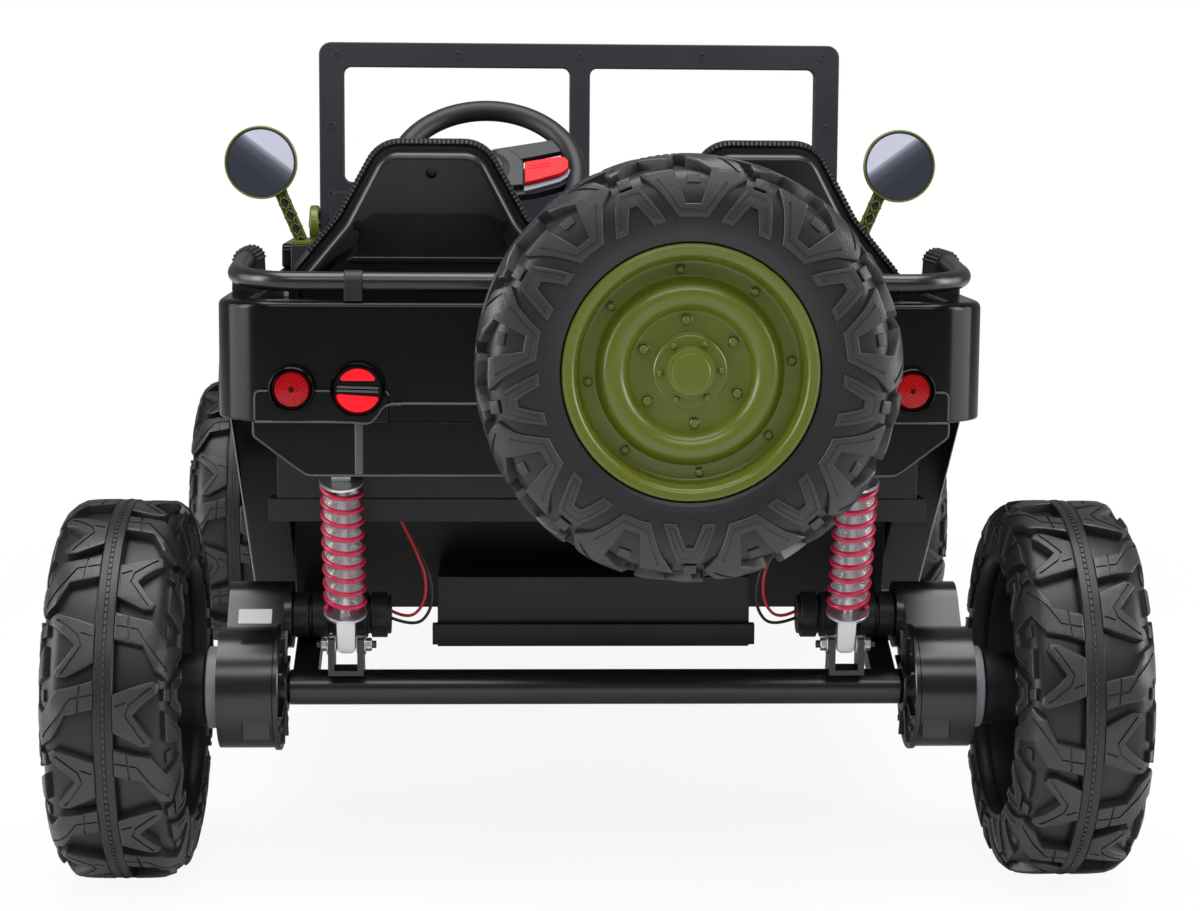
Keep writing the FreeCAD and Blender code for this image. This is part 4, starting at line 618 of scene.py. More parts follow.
def make_leads():
    for colour, offset, length, material in (("red", (0, 0, 3), 201, wire_red),
                                             ("black", (5, 5, -4), 208, wire_black)):
        route = [Vector(LEAD_START) + Vector(offset) + Vector(spot) for spot in LEAD_ROUTE]
        route[0].x = LEAD_START[0]
        route[-1].z = LEAD_TOP
        for side, sense in (("left", 1), ("right", -1)):
            line = bpy.data.curves.new(f"motor_lead_{colour}_{side}", "CURVE")
            line.dimensions = "3D"
            line.bevel_depth = LEAD_RADIUS * MM
            line.bevel_resolution = 3
            line.resolution_u = 8
            line.use_fill_caps = True
            spline = line.splines.new("NURBS")
            spline.points.add(len(route) - 1)
            for knot, spot in zip(spline.points, route):
                knot.co = (spot.x * sense * MM, spot.y * MM, spot.z * MM, 1)
            spline.order_u = 3
            spline.use_endpoint_u = True
            lead = bpy.data.objects.new(f"motor_lead_{colour}_{side}", line)
            scene.collection.objects.link(lead)
            line.materials.append(material)
            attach(lead, "chassis")
            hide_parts(f"lead_{colour}_{side}")


# Tyres. A unit of tread is modelled flat, as (across, around) places on the carcass, then wrapped.
TYRE_RADIUS = 150
UNITS = 9
UNIT_LONG = math.tau * TYRE_RADIUS / UNITS
CARCASS_LINE = rounded_line([(0, 141.8), (30, 141.6), (40, 139), (46, 132.5), (49, 123), (50, 112),
                             (49.3, 100), (47.5, 93)], 3)
BAND_HALF, BARREL = 7.5, 104
LUG_HIGH, WALL_HIGH = 8.0, 2.8
SHOULDER, SHOULDER_WIDE = 34, 18
NUB_COUNT, NUB_HALF = 19, 0.3
GROOVE_WIDE, GROOVE_DEEP = 1.5, 1.5
LONG_LUG = [(7, -12), (20, -8), (34, -5), (43, 13), (65, 7), (65, -7), (43, -15), (43, -40), (54, -29),
            (74, -14), (74, 14), (54, 29), (45, 41), (36, 33), (28, 15), (20, 13), (7, 10)]
FORKED_LUG = [(7, 51), (20, 46), (35, 41), (39, 44), (38, 50), (26, 62), (22, 67), (26, 73), (35, 86),
              (33, 91), (27, 91), (7, 80)]
STUD = [(42, 47), (48, 47), (48, 57), (42, 57)]
CHEVRON = [(50, 43), (50, 62), (76, 78.5), (76.5, 66), (61, 56), (61, 49), (76.5, 39), (76, 26.5)]
TAB = [(45, -5), (51, -5), (51, 5), (45, 5)]
LONG_GROOVES = [[(8, -1), (24, 2), (33, 17), (43, 33)], [(17, -8), (18.5, 12)],
                [(48, -28), (69, -12), (70, 11), (50, 26)]]
FORKED_GROOVES = [[(34, 46), (19, 59), (16.5, 67), (30, 88)], [(9, 60), (17, 57)]]


def on_carcass(across):
    """Place and outward normal, as (along, radius), at a distance from the tread's middle."""
    left = abs(across)
    for before, after in zip(CARCASS_LINE, CARCASS_LINE[1:]):
        step = (after - before).length
        if left <= step or after is CARCASS_LINE[-1]:
            break
        left -= step
    run = (after - before).normalized()
    spot = before + run * left
    side = math.copysign(1, across)
    return Vector((spot.x * side, spot.y)), Vector((-run.y * side, run.x))


def wrapped(piece):
    """Bends the flat unit round the carcass; lugs are lower on the sidewall."""
    for vertex in piece.data.vertices:
        across, around, height = vertex.co / MM
        share = min(1, max(0, (abs(across) - SHOULDER) / SHOULDER_WIDE))
        rise = height * (1 - share) + height * share * WALL_HIGH / LUG_HIGH
        spot, normal = on_carcass(across)
        spot = spot + normal * rise
        angle = around / TYRE_RADIUS
        vertex.co = Vector((spot.x, spot.y * math.sin(angle), spot.y * math.cos(angle))) * MM
    return piece


def lug(name, outline, top, bevel, sunk=(), grooves=()):
    piece = bevelled(slab(name, "z", -1, top, outline), bevel, 2, above("z", top - 0.1))
    if sunk:
        sunk_face(piece, lambda face: face.normal.z > 0.9 and face.calc_center_median().z > (top - 0.1) * MM,
                  sunk)
    return carved(piece, *[slab("groove", "z", top - GROOVE_DEEP, top + 1, strip(line, GROOVE_WIDE))
                           for line in grooves])


def tread_unit():
    """One unit of lugs on both sides, flat, then cut into strips that can bend."""
    outer = joined("tread_unit", [
        lug("long_lug", LONG_LUG, LUG_HIGH, 1.5, (), LONG_GROOVES),
        lug("forked_lug", FORKED_LUG, LUG_HIGH, 1.5, (), FORKED_GROOVES),
        lug("stud", STUD, LUG_HIGH * 0.8, 1), lug("chevron", CHEVRON, LUG_HIGH, 0.9, [(1.8, 0), (0.7, -3)]),
        lug("tab", TAB, LUG_HIGH * 0.5, 0.6)])
    inner = moved(copied(outer, "tread_unit_inner", MIRROR), shift(y=UNIT_LONG / 2))
    pitch = UNIT_LONG / NUB_COUNT
    nubs = [block("nub", (-1, (index - NUB_HALF) * pitch, LUG_HIGH - 0.9),
                  (1, (index + NUB_HALF) * pitch, LUG_HIGH + 0.1)) for index in range(-6, 13)]
    unit = joined("tread_unit", [outer, inner] + nubs)
    open_mesh(unit)
    for axis, cuts in (("x", range(-78, 79, 6)), ("y", range(-44, 160, 8))):
        for place in cuts:
            bpy.ops.mesh.select_all(action="SELECT")
            bpy.ops.mesh.bisect(plane_co=in_space(axis, place * MM, (0, 0)), plane_no=AXES[axis])
    close_mesh()
    return wrapped(unit)


def carcass_profile():
    """Tread side, sidewall and bead towards the rim, and the open barrel towards the car."""
    outer = [spot for spot in CARCASS_LINE if spot.x > BAND_HALF + 0.5]
    band = [(1.2, 149.1), (1.6, 149.5), (BAND_HALF - 1.1, 149.4), (BAND_HALF - 0.3, 148.6), (BAND_HALF, 141)]
    right = band + [tuple(spot) for spot in outer] + [(46.5, 90.6), (44, 89.6), (31, 89.6), (31, 100)]
    left = [(-along, radius) for along, radius in band]
    left += [(-spot.x, spot.y) for spot in outer if spot.y > BARREL]
    left += [(-48.5, 103), (-44, 100.5), (-38, 100)]
    loop = left[::-1] + right
    return loop + [loop[0]]


TRACK_HALF = 369.5
WHEELS = {"rear_left": (-TRACK_HALF, REAR_AXLE), "rear_right": (TRACK_HALF, REAR_AXLE),
          "front_left": (-TRACK_HALF, FRONT_AXLE), "front_right": (TRACK_HALF, FRONT_AXLE)}
SPARE = (54.8, -647, 427.4)


def wheel_places():
    """Name, body and place of the four road wheels and the spare."""
    for name, (across, along) in WHEELS.items():
        turn = turned(180, "Z") if across < 0 else Matrix()
        yield name, name + "_wheel", shift(across, along, AXLE_HIGH) @ turn
    yield "spare", "chassis", shift(*SPARE) @ turned(-90, "Z")


def on_every_wheel(*patterns):
    """Finishes a copy of each (pattern, name, material, replaced) at each wheel and removes the patterns."""
    for wheel, body, place in wheel_places():
        for pattern, name, material, replaced in patterns:
            fitted(copied(pattern, name + wheel, place), material, replaced + wheel, body, 30)
    for pattern, *_ in patterns:
        bpy.data.objects.remove(pattern)


def make_tyres():
    shell = spun("tyre", "x", (0, 0, 0), carcass_profile(), 144)
    unit = tread_unit()
    tread = joined("tread", [copied(unit, "tread", turned(-360 * index / UNITS)) for index in range(UNITS)])
    bpy.data.objects.remove(unit)
    # The carcass under the lugs takes the darker rubber, painted shade between the lugs.
    on_every_wheel((shell, "tyre_shell_", rubber_painted_shade, "tyre_"), (tread, "tyre_tread_", rubber, "tyre_"))


# Wheel discs
RIM = [(26, 0), (26, 89.3), (31, 89.3), (46.4, 89.3), (47.6, 88.6), (48.4, 87), (48.2, 84), (47, 81.6),
       (45.5, 80.6), (44, 79.8), (33, 78), (31.5, 76.6), (31, 75), (31, 68), (31.6, 66), (34, 64.2),
       (38.5, 62), (41.4, 58.6), (42.4, 54), (41.4, 49.4), (38.5, 45.6), (35, 43.4), (33.4, 42.2),
       (33, 40.6), (33, 27.6), (33.6, 26.4), (36.4, 25.6), (37, 24.8), (37, 18.6), (37.4, 17.6), (43.4, 17),
       (44.6, 16), (45, 14.4), (45, 13.6), (45.6, 12.6), (45.6, 0)]


def nut(name, radius, length, across_disc, facing):
    """A small round-washered nut, standing on the wheel's face."""
    washer = spun(name, "x", (facing, 0, 0), [(-1, 0), (-1, radius), (0.7, radius), (1.1, radius * 0.86)], 20)
    hexagon = disc(name, "x", facing, facing + length, (0, 0), across_disc, 6)
    return joined(name, [washer, bevelled(hexagon, 0.5, 1)])


def ring_of(pattern, count, radius, start):
    """Copies of a small piece, evenly round the wheel's face."""
    pieces = [copied(pattern, pattern.name, turned(start + 360 * index / count) @ shift(z=radius))
              for index in range(count)]
    bpy.data.objects.remove(pattern)
    return pieces


def make_rims():
    face = spun("rim_face", "x", (0, 0, 0), RIM, 96)
    fixings = ring_of(nut("well_nut", 3.8, 3.4, 2.7, 31), 8, 71, 6)
    fixings += ring_of(nut("wheel_nut", 4.6, 4.6, 3.4, 33), 6, 36, 5)
    rivet = spun("rivet", "x", (37, 0, 0), [(-1, 2.6), (0.6, 2.6), (1.7, 2.0), (2.3, 0.9), (2.4, 0)], 14)
    fixings += ring_of(rivet, 6, 21.4, 33)
    on_every_wheel((joined("rim_pattern", [face] + fixings), "wheel_disc_", olive, "rim_"))


# Sleeves, barrels and grey hub plates inside the wheels
SLEEVE = [(27, 89.2), (-30, 98.5), (-36, 99.8), (-36, 98.8), (-30, 97), (26, 87.4), (26, 30), (-20, 29.4),
          (-20, 27)]
REAR_REACH, FRONT_REACH = -60.5, -47


def make_wheel_backs():
    """Black drum and sleeve behind each disc, and the grey plate with its windows."""
    for name, body, place in wheel_places():
        end = FRONT_REACH if name.startswith("front") else REAR_REACH
        profile = SLEEVE + [(end + 8, 27), (end + 8, 30), (end + 1, 30), (end, 29), (end, 6.2), (20, 6.2),
                            (26.5, 8), (26.5, 87)]
        drum = moved(spun("wheel_drum_" + name, "x", (0, 0, 0), profile, 72), place)
        fitted(drum, matte_black, None, body)
        if name == "spare":
            continue
        parts = [spun("hub_plate", "x", (0, 0, 0), [(-46, 30.2), (-46, 52), (-45, 54), (-41, 54), (-41, 30.2),
                                                   (-46, 30.2)], 60)]
        for index in range(6):
            rib = slab("window_rib", "x", -48.5, -45, [(-9, 33), (9, 33), (0, 51)])
            sunk_face(rib, lambda face: face.normal.x < -0.9, [(1.6, 0), (0.4, -1.5)])
            head = bevelled(disc("plate_screw", "x", -49.5, -46, (0, 39), 3, 12), 0.5, 1)
            parts += [moved(piece, turned(60 * index)) for piece in (rib, head)]
        plate = moved(joined("hub_plate_" + name, parts), place @ shift(x=30))
        fitted(plate, grey_plastic, None, body)


# Rear tub with its lamp plates, and the fascia under it
TUB_HALF, TUB_BACK, TUB_FRONT, TUB_LOW, TUB_TOP = 290, -541, -221, 375, 465
TUB_WALL, TUB_CORNER, TUB_FLOOR = 26, 46, 8
FASCIA_BACK = -538


def screw(name, axis, place, facing, radius):
    """A dark recessed screw head; facing is the outer side along the axis, 1 or -1."""
    return spun(name, axis, place, [
        (-facing * 2, radius), (facing * 0.4, radius), (facing * 0.7, radius * 0.9),
        (facing * 0.6, radius * 0.72), (-facing * 1.2, radius * 0.66), (-facing * 1.2, 0)], 20)


def ribbon(name, points, width, back, front):
    """A narrow raised bead along a line, rounded towards the back."""
    bead = slab(name, "y", back, front, strip(points, width))
    return bevelled(bead, width * 0.35, 3, below("y", back + 0.05))


def smooth_line(points):
    return [tuple(spot) for spot in rounded_line(points, 2)]


def make_tub():
    inner, inner_back = TUB_HALF - TUB_WALL, TUB_BACK + TUB_WALL
    wall = slab("tub_wall", "z", TUB_LOW, TUB_TOP, [
        (TUB_HALF, TUB_FRONT), (TUB_HALF, TUB_BACK), (-TUB_HALF, TUB_BACK), (-TUB_HALF, TUB_FRONT),
        (-inner, TUB_FRONT), (-inner, inner_back), (inner, inner_back), (inner, TUB_FRONT)],
        [0, TUB_CORNER, TUB_CORNER, 0, 0, 20, 20, 0], 12)
    bevelled(wall, 5.5, 5, above("z", TUB_TOP - 1))
    bevelled(wall, 1.6, 2, below("z", TUB_LOW + 1))
    carved(wall, slab("tub_notch", "y", TUB_BACK - 5, TUB_BACK + 3, [
        (-176, 365), (176, 365), (176, 376), (167, 388), (-167, 388), (-176, 376)], [0, 0, 5, 6, 6, 5]))
    floor = block("tub_floor", (-inner - 1, inner_back - 1, TUB_LOW + 0.2), (inner + 1, TUB_FRONT,
                                                                            TUB_LOW + TUB_FLOOR))
    plates = []
    for side in BOTH_SIDES[::-1]:
        plate = slab("lamp_plate", "y", TUB_BACK - 4, TUB_BACK + 1, [
            (160, 374.4), (260, 374.4), (260, 399), (160, 399)], [0, 0, 6, 6])
        plates.append(moved(bevelled(plate, 1.4, 3, below("y", TUB_BACK - 3.9)), side))
    step = smooth_line([(259, 375.6), (190, 375.6), (180, 374.6), (174, 374.4), (169, 379), (165, 386),
                        (160, 388.8), (150, 389)])
    rim = smooth_line([(259.2, 377), (259.2, 390), (259.2, 395), (257.6, 398.4), (253, 398.6), (240, 398.6),
                       (166, 398.6), (161, 398.4), (159.6, 395)])
    # The beads are raised lips finished in the lighter black, a painted highlight along the tub's lips and
    # the fascia's edge.
    beads = [ribbon("tub_bead", [(-158, 389), (158, 389)], 1.7, TUB_BACK - 1.8, TUB_BACK + 1)]
    for sense in (-1, 1):
        for name, line, width, high, low in (("plate_bead", rim, 1.4, 4.6, 3),
                                             ("step_bead", step, 1.7, 5.4, 2)):
            line = [(sense * across, up) for across, up in line]
            beads.append(ribbon(name, line, width, TUB_BACK - high, TUB_BACK - low))
    corner = smooth_line([(260.8, 374), (260.8, 364.6), (259, 362.8), (224, 336), (220, 334.4), (210, 334.4)])
    edge = [(-across, up) for across, up in corner] + corner[::-1]
    beads.append(ribbon("fascia_bead", edge, 1.5, FASCIA_BACK - 0.8, FASCIA_BACK + 2))
    for side in BOTH_SIDES[::-1]:
        rib = block("fascia_rib", (179, FASCIA_BACK - 1.8, 335), (185.5, FASCIA_BACK + 2, 375))
        beads.append(moved(bevelled(rib, 1.5, 3), side))
    fitted(joined("rear_tub_shell", [wall, floor] + plates), gloss_black, "rear_tub")
    fitted(joined("rear_tub_beads", beads), painted_highlight_black)


def make_fascia():
    sheet = slab("fascia", "y", FASCIA_BACK, FASCIA_BACK + 8, [
        (-262, 375), (-262, 363), (-222, 333), (222, 333), (262, 363), (262, 375)], [0, 8, 14, 14, 8, 0])
    bevelled(sheet, 1.6, 3, below("y", FASCIA_BACK + 0.1))
    fitted(sheet, gloss_black, "rear_fascia")


# Rear lamps: a round reflector, and a lamp with two red windows, on each side
REFLECTOR, LAMP = (231.5, 400), (182.5, 400)


def bezel(name, centre, radius, wide):
    """A round rim with a groove inside it; wide stretches its width."""
    return spun(name, "y", (centre[0], 0, centre[1]), [(along, radius - inward * wide) for along, inward in (
        (-541, 0), (-548, 0), (-550.6, 0.7), (-551.4, 1.6), (-550.4, 2.4), (-549.2, 2.7), (-550, 3.1),
        (-550.4, 3.8), (-549, 4.4), (-546, 4.6))] + [(-546, 0)])


def lamp_window(name, points, curve, radii):
    """A red window with rounded corners and an arc, standing a little out of the lamp's face."""
    outline = placed_at(LAMP, rounded(points + curve, radii + [0] * len(curve)))
    return bevelled(slab(name, "y", -548.6, -545, outline), 0.6, 2, below("y", -548.5))


def make_lamps():
    ring = bezel("reflector_bezel", REFLECTOR, 17.8, 1.0)
    face = bezel("lamp_bezel", LAMP, 20.7, 0.7)
    bars = []
    for low in (LAMP[1] - 1.9, LAMP[1] + 0.8):
        bars.append(block("lamp_bar", (LAMP[0] - 15.5, -549.6, low), (LAMP[0] + 15.5, -545, low + 1.7)))
    for bar in bars:
        moved(bevelled(bar, 0.5, 2), about((LAMP[0], 0, LAMP[1]), -1.5, "Y"))
    screws = [screw("lamp_screw", "y", (LAMP[0] + across, -547, LAMP[1] + 4), -1, 1.6)
              for across in (-14.4, 14.4)]
    dot = disc("reflector_dot", "y", -550.3, -548, REFLECTOR, 1.6, 16)
    lens = spun("reflector_lens", "y", (REFLECTOR[0], 0, REFLECTOR[1]), [
        (-545, 13.1), (-548.2, 13.1), (-549, 12.6), (-549.6, 9), (-550, 2.2), (-549.2, 1.8), (-549.2, 0)])
    upper = lamp_window("upper_window", [(-13.6, 6.6), (13.6, 6.6)], arc(15.6, 36, 144, 10), [1.6, 1.6])
    lower = lamp_window("lower_window", [(16.2, -3.2), (-16, -5.6)], arc(17, 210, 334, 12), [1.8, 1.6])
    fitted_pair("rear_lamp_bodies", joined("lamp_bodies", [ring, face, dot] + screws), gloss_black,
                "rear_lamps")
    # The bars take the lighter black, a painted highlight.
    fitted_pair("rear_lamp_bars", joined("lamp_bars", bars), painted_highlight_black)
    fitted_pair("rear_reflector_lenses", lens, reflector_red)
    fitted_pair("rear_lamp_lenses", joined("lamp_lenses", [upper, lower]), lens_red)


# Windscreen frame and its hinge brackets
def make_windscreen():
    blank = slab("screen_blank", "y", 96, 112, [(-255, 486), (255, 486), (255, 673), (-255, 673)],
                 [3, 3, 12, 12])
    panes = [slab("pane", "y", 90, 118, [(low, 537), (low + 221, 537), (low + 221, 649), (low, 649)], [7] * 4)
             for low in (-231, 10)]
    bevelled(carved(blank, *panes), 1.3, 3)
    spots = [(across, 661) for across in (-238, -119, 0, 119, 238)]
    spots += [(across, up) for across in (-243, 243) for up in (592, 524)]
    screws = [screw("screen_screw", "y", (across, 96, up), -1, 3.8) for across, up in spots]
    sill = slab("sill_step", "y", 94.4, 97, [(-246, 488), (246, 488), (246, 528), (-246, 528)], [3, 3, 9, 9])
    bevelled(sill, 1.2, 2, below("y", 94.5))
    fitted(joined("windscreen_surround", [blank, sill] + screws), frame_black, "windscreen_frame",
           "windscreen")
    wheel = bevelled(disc("hinge_round", "x", 256, 265, (104, 496), 18, 48), 2, 3)
    sunk_face(wheel, lambda face: len(face.verts) > 30, [(3.5, 0), (0.6, -1.2)])
    leg = bevelled(block("hinge_leg", (256, 92, 478), (265, 116, 494)), 1, 2)
    bolt = bevelled(disc("hinge_bolt", "x", 254.2, 266.4, (104, 496), 5, 6), 0.6, 2)
    fitted_pair("hinge_brackets", joined("hinge_bracket", [wheel, leg, bolt]), olive, "windscreen_brackets")


# Mirrors on lattice stalks
STALK_FOOT, STALK_HEAD = Vector((268, 34, 482)), Vector((289, 34, 531))
STALK_CELLS = 4


def make_mirrors():
    hub = (MIRROR_X, 0, MIRROR_Z)
    shell = spun("mirror_shell", "y", hub, [
        (40, 0), (40, 22), (39, 27), (36.5, 31), (33, 33.6), (29, 34.8), (27, 34.6), (26.4, 33.8), (26.6, 33),
        (27.8, 32.8), (28.4, 31), (28.4, 0)], 72)
    seal = spun("mirror_seal", "y", hub, [(28.2, 33), (27, 32.9), (26.7, 32.3), (26.9, 31.4), (27.8, 31),
                                          (28.2, 33)], 72)
    glass = spun("mirror_plate", "y", hub, [(28.3, 31.6), (27.5, 31.6), (27.3, 31.3), (27.3, 0)], 72)
    run = STALK_HEAD - STALK_FOOT
    lean = turned(math.degrees(math.atan2(run.x, run.z)), "Y")
    ribs = []
    for face in range(4):
        for cell in range(STALK_CELLS):
            low, high = run.length * cell / STALK_CELLS, run.length * (cell + 1) / STALK_CELLS
            for half in (-5.4, 5.4):
                ribs.append(slab("stalk_rib", "y", -5.6, -4.2, [
                    (-half - 1, low), (-half + 1, low), (half + 1, high), (half - 1, high)]))
                moved(ribs[-1], turned(90 * face, "Z"))
        ribs.append(moved(block("stalk_edge", (4.2, 4.2, 0), (5.6, 5.6, run.length)), turned(90 * face, "Z")))
    lattice = moved(joined("stalk_lattice", ribs), shift(*STALK_FOOT) @ lean)
    collar = bevelled(disc("stalk_collar", "z", 0, 10, (0, 0), 6.4, 24), 1.5, 2)
    moved(collar, shift(*STALK_HEAD) @ lean @ shift(z=-6))
    base = bevelled(block("stalk_base", (258.5, 24.5, 479), (277.5, 43.5, 483)), 1, 2)
    core = moved(disc("stalk_core", "z", 0, run.length, (0, 0), 4.4, 12), shift(*STALK_FOOT) @ lean)
    fitted_pair("pair_of_mirror_bodies", joined("mirror_bodies", [shell, lattice, base]), olive, "mirrors")
    fitted_pair("pair_of_mirror_cores", joined("mirror_cores", [core, seal, collar]), matte_black)
    fitted_pair("pair_of_mirror_plates", glass, mirror_glass, "mirror_glasses")


# Steering wheel: its face looks along its own +Z, and is then leaned back
WHEEL_AT, WHEEL_LEAN = (-90, -106, 549), 45
WHEEL_RADIUS, GRIP_RADIUS = 82, 9.5


def make_steering_wheel():
    section = [(height, WHEEL_RADIUS + along) for height, along in arc(GRIP_RADIUS, 0, 360, 20)]
    blacks = [spun("wheel_ring", "z", (0, 0, 0), section, 96), spun("wheel_hub", "z", (0, 0, 0), [
        (-12, 0), (-12, 20), (-10, 23), (4, 26), (7, 25.4), (9, 23), (10.6, 16), (12, 14.6), (12, 0)], 48)]
    reds, greys = [], []
    for side in BOTH_SIDES:
        bar = bevelled(slab("upper_bar", "z", -3.5, 3, [
            (5, 12), (29, 17), (66, 27.5), (77, 31), (74, 47), (52, 41), (5, 30.5)],
            [0, 6, 4, 0, 0, 0, 0]), 1.4)
        arm = bevelled(slab("side_arm", "z", -5, 3.6, [
            (15, -30), (44, -25), (66, -17), (78, -8), (80, 4), (74, 12), (65, 13), (33, 6), (15, 6)],
            [0, 6, 6, 4, 4, 4, 4, 0, 0]), 1.4, 3)
        shield = bevelled(slab("hub_shield", "z", -4, 9.4, [
            (8, -24), (33.6, -20), (33.6, 8), (29, 17), (18, 27), (8, 24)], [0, 2, 3, 5, 6, 0]), 1.6, 3)
        grey = bevelled(slab("grey_lip", "z", 2, 7, [
            (34, -26), (44, -22.5), (66, -14), (73, -8), (76, 0), (74, 4), (70, -4), (65, -8.6), (44, -16.6),
            (34, -19.6)], [1, 4, 4, 3, 2, 1, 3, 3, 3, 1]), 1.0)
        red = slab("horn_pad", "z", 3, 11, [
            (34.5, -18.7), (44, -16), (65, -8), (70.5, -4), (74, 0.5), (74, 8.5), (71, 13), (65, 14),
            (34.5, 7)], [1, 4, 4, 3, 3, 2, 2, 3, 1])
        bevelled(red, 1.6, 3, above("z", 10.9))
        marks = [slab("pad_mark", "z", 10.8, 11.4, [(38, up), (58, up + 3.6), (58, up + 4.4), (38, up + 0.8)])
                 for up in (-2, 1)]
        blacks += [moved(piece, side) for piece in (bar, arm, shield)]
        reds += [moved(piece, side) for piece in [red] + marks]
        greys.append(moved(grey, side))
    low = slab("low_arm", "z", -4.5, 4, [(-13, -78), (13, -78), (16, -15), (-16, -15)], [2, 2, 0, 0])
    blacks.append(bevelled(low, 1.6, 3))
    place = shift(*WHEEL_AT) @ turned(WHEEL_LEAN)
    for name, pieces, material, replaced in (("wheel_of_steering", blacks, matte_black, "steering_wheel"),
                                             ("wheel_grey_lips", greys, lip_grey, None),
                                             ("wheel_red_pads", reds, horn_red, "horn_buttons")):
        fitted(moved(joined(name, pieces), place), material, replaced, "steering")


# Grab rail's clips and ribbed end grips
CLIP_X, GRIP_X, GRIP_Z, GRIP_FOOT = 186, 276.5, 487.5, -22.9


def make_rail_mounts():
    crown = [((11.2 if step % 2 else 9.9), math.radians(180 - step * 9)) for step in range(21)]
    outline = [(radius * math.cos(angle), radius * math.sin(angle)) for radius, angle in crown]
    outline = [(-11, GRIP_FOOT)] + outline + [(11, GRIP_FOOT)]
    mounts = []
    for sense in (-1, 1):
        clip = slab("rail_clip", "x", sense * CLIP_X - 7, sense * CLIP_X + 7,
                    placed_at((-531, 479), arc(8.7, -20, 200, 16)) + [(-539.6, 465), (-522.4, 465)])
        bevelled(clip, 0.8, 2)
        grip = slab("rail_grip", "y", -424, -366, placed_at((sense * GRIP_X, GRIP_Z), outline))
        bevelled(grip, 1.2, 2, lambda edge: abs(edge.verts[0].co.y - edge.verts[1].co.y) < 1e-5
                 and edge.verts[0].co.z > 470 * MM)
        mounts += [clip, grip]
    fitted(joined("rail_fittings", mounts), matte_black, "rail_mounts", angle=20)


# Shock absorbers, built upright at the origin and then leaned
SHOCK_X, SHOCK_FOOT, SHOCK_IN, SHOCK_RISE = 198, 187, 60, 165
SHOCK_LEAN, SHOCK_LONG = math.degrees(math.atan2(SHOCK_IN, SHOCK_RISE)), math.hypot(SHOCK_IN, SHOCK_RISE)
SHOCK_PLACES = (-448, 492)
COIL_TURNS, COIL_ENDS, COIL_START = 9, 66.6, 33.3
SLEEVE_RADIUS, SLEEVE_WAVE, WAVE_STEPS = 15.0, 3.2, 8


def at_every_shock(name, pattern, material, replaced=None):
    """Finishes copies of a pattern at the four shock absorbers as one piece."""
    copies = [copied(pattern, name, side @ shift(SHOCK_X, along, SHOCK_FOOT) @ turned(SHOCK_LEAN))
              for along in SHOCK_PLACES for side in BOTH_SIDES]
    bpy.data.objects.remove(pattern)
    fitted(joined(name, copies), material, replaced)


def make_shocks():
    high = SHOCK_LONG - 28
    metal = [disc("shock_rod", "z", 27, high + 1, (0, 0), 4, 24)]
    for low in (28, high - 3):
        metal.append(spun("shock_washer", "z", (0, 0, 0), [
            (low, 4), (low, 16.2), (low + 0.6, 17), (low + 2.4, 17), (low + 3, 16.2), (low + 3, 4)], 48))
    for foot, sense in ((0, 1), (SHOCK_LONG, -1)):
        strap = rounded([(-7.5, -6), (7.5, -6), (7.5, 28), (-7.5, 28)], [5, 5, 2, 2])
        strap = slab("shock_strap", "y", -4.6, 4.6, [(across, foot + sense * up) for across, up in strap])
        metal.append(bevelled(strap, 1, 2))
        for side in (-1, 1):
            head = disc("shock_bolt", "x", side * 14, side * 20, (0, foot), 5.6, 6)
            washer = disc("bolt_washer", "x", side * 14, side * 15.4, (0, foot), 8, 28)
            metal += [bevelled(head, 0.6, 1), bevelled(washer, 0.4, 1)]
    silver = joined("shock_metal", metal)
    white = joined("shock_bushes", [spun("eye_bush", "x", (0, 0, foot), [
        (side * 8, 3), (side * 8, 6.6), (side * 8.5, 7), (side * 13.4, 7), (side * 13.9, 6.6),
        (side * 13.9, 3)], 28) for foot in (0, SHOCK_LONG) for side in (-1, 1)])
    pitch = (SHOCK_LONG - COIL_ENDS) / COIL_TURNS
    wave = trace("shock_sleeve", [
        (SLEEVE_RADIUS - SLEEVE_WAVE * math.sin(math.pi * step / WAVE_STEPS) ** 2, 0,
         COIL_START - pitch / 2 + pitch * (step / WAVE_STEPS + 0.5)) for step in range(WAVE_STEPS + 1)])
    close_mesh()
    finished(wave, "SCREW", axis="Z", angle=math.tau, screw_offset=pitch * MM, iterations=8, steps=36,
             render_steps=36, use_merge_vertices=True, merge_threshold=1e-5)
    finished(wave, "SOLIDIFY", thickness=0.7 * MM, offset=-1)
    open_mesh(wave)
    recalculate()
    close_mesh()
    at_every_shock("all_shock_metal", silver, zinc, "shock_rods")
    at_every_shock("all_shock_bushes", white, nylon)
    at_every_shock("all_shock_tubes", wave, sleeve_clear, "shock_sleeves")


# Seats: moulded shells, and pads swollen by cloth pressure
SEAT_X, SEAT_Y, SEAT_THICK, SEAT_BASE, SEAT_TOP = 131.5, -390, 30, 400.3, 583
SEAT_CORNERS = [(-116, 475, 24), (-77, 522, 40), (-43, SEAT_TOP, 30), (43, SEAT_TOP, 30), (77, 522, 40),
                (116, 475, 24)]
SEAT_LEAN = about((0, SEAT_Y, SEAT_BASE), 6, "X")


def seat_outline(margin, low):
    """The backrest seen from behind, moved inwards by a margin; the shoulders keep their radius."""
    places, radii = [(-116 + margin, low), (116 - margin, low)], [6, 6]
    for across, up, radius in SEAT_CORNERS[::-1]:
        sideways, down = (0.55, 1) if up == SEAT_TOP else (1, 0.5)
        places.append((across - math.copysign(margin, across) * sideways, up - margin * down))
        radii.append(max(radius - margin, 8) if radius != 40 else 40)
    return rounded(places, radii, 8)


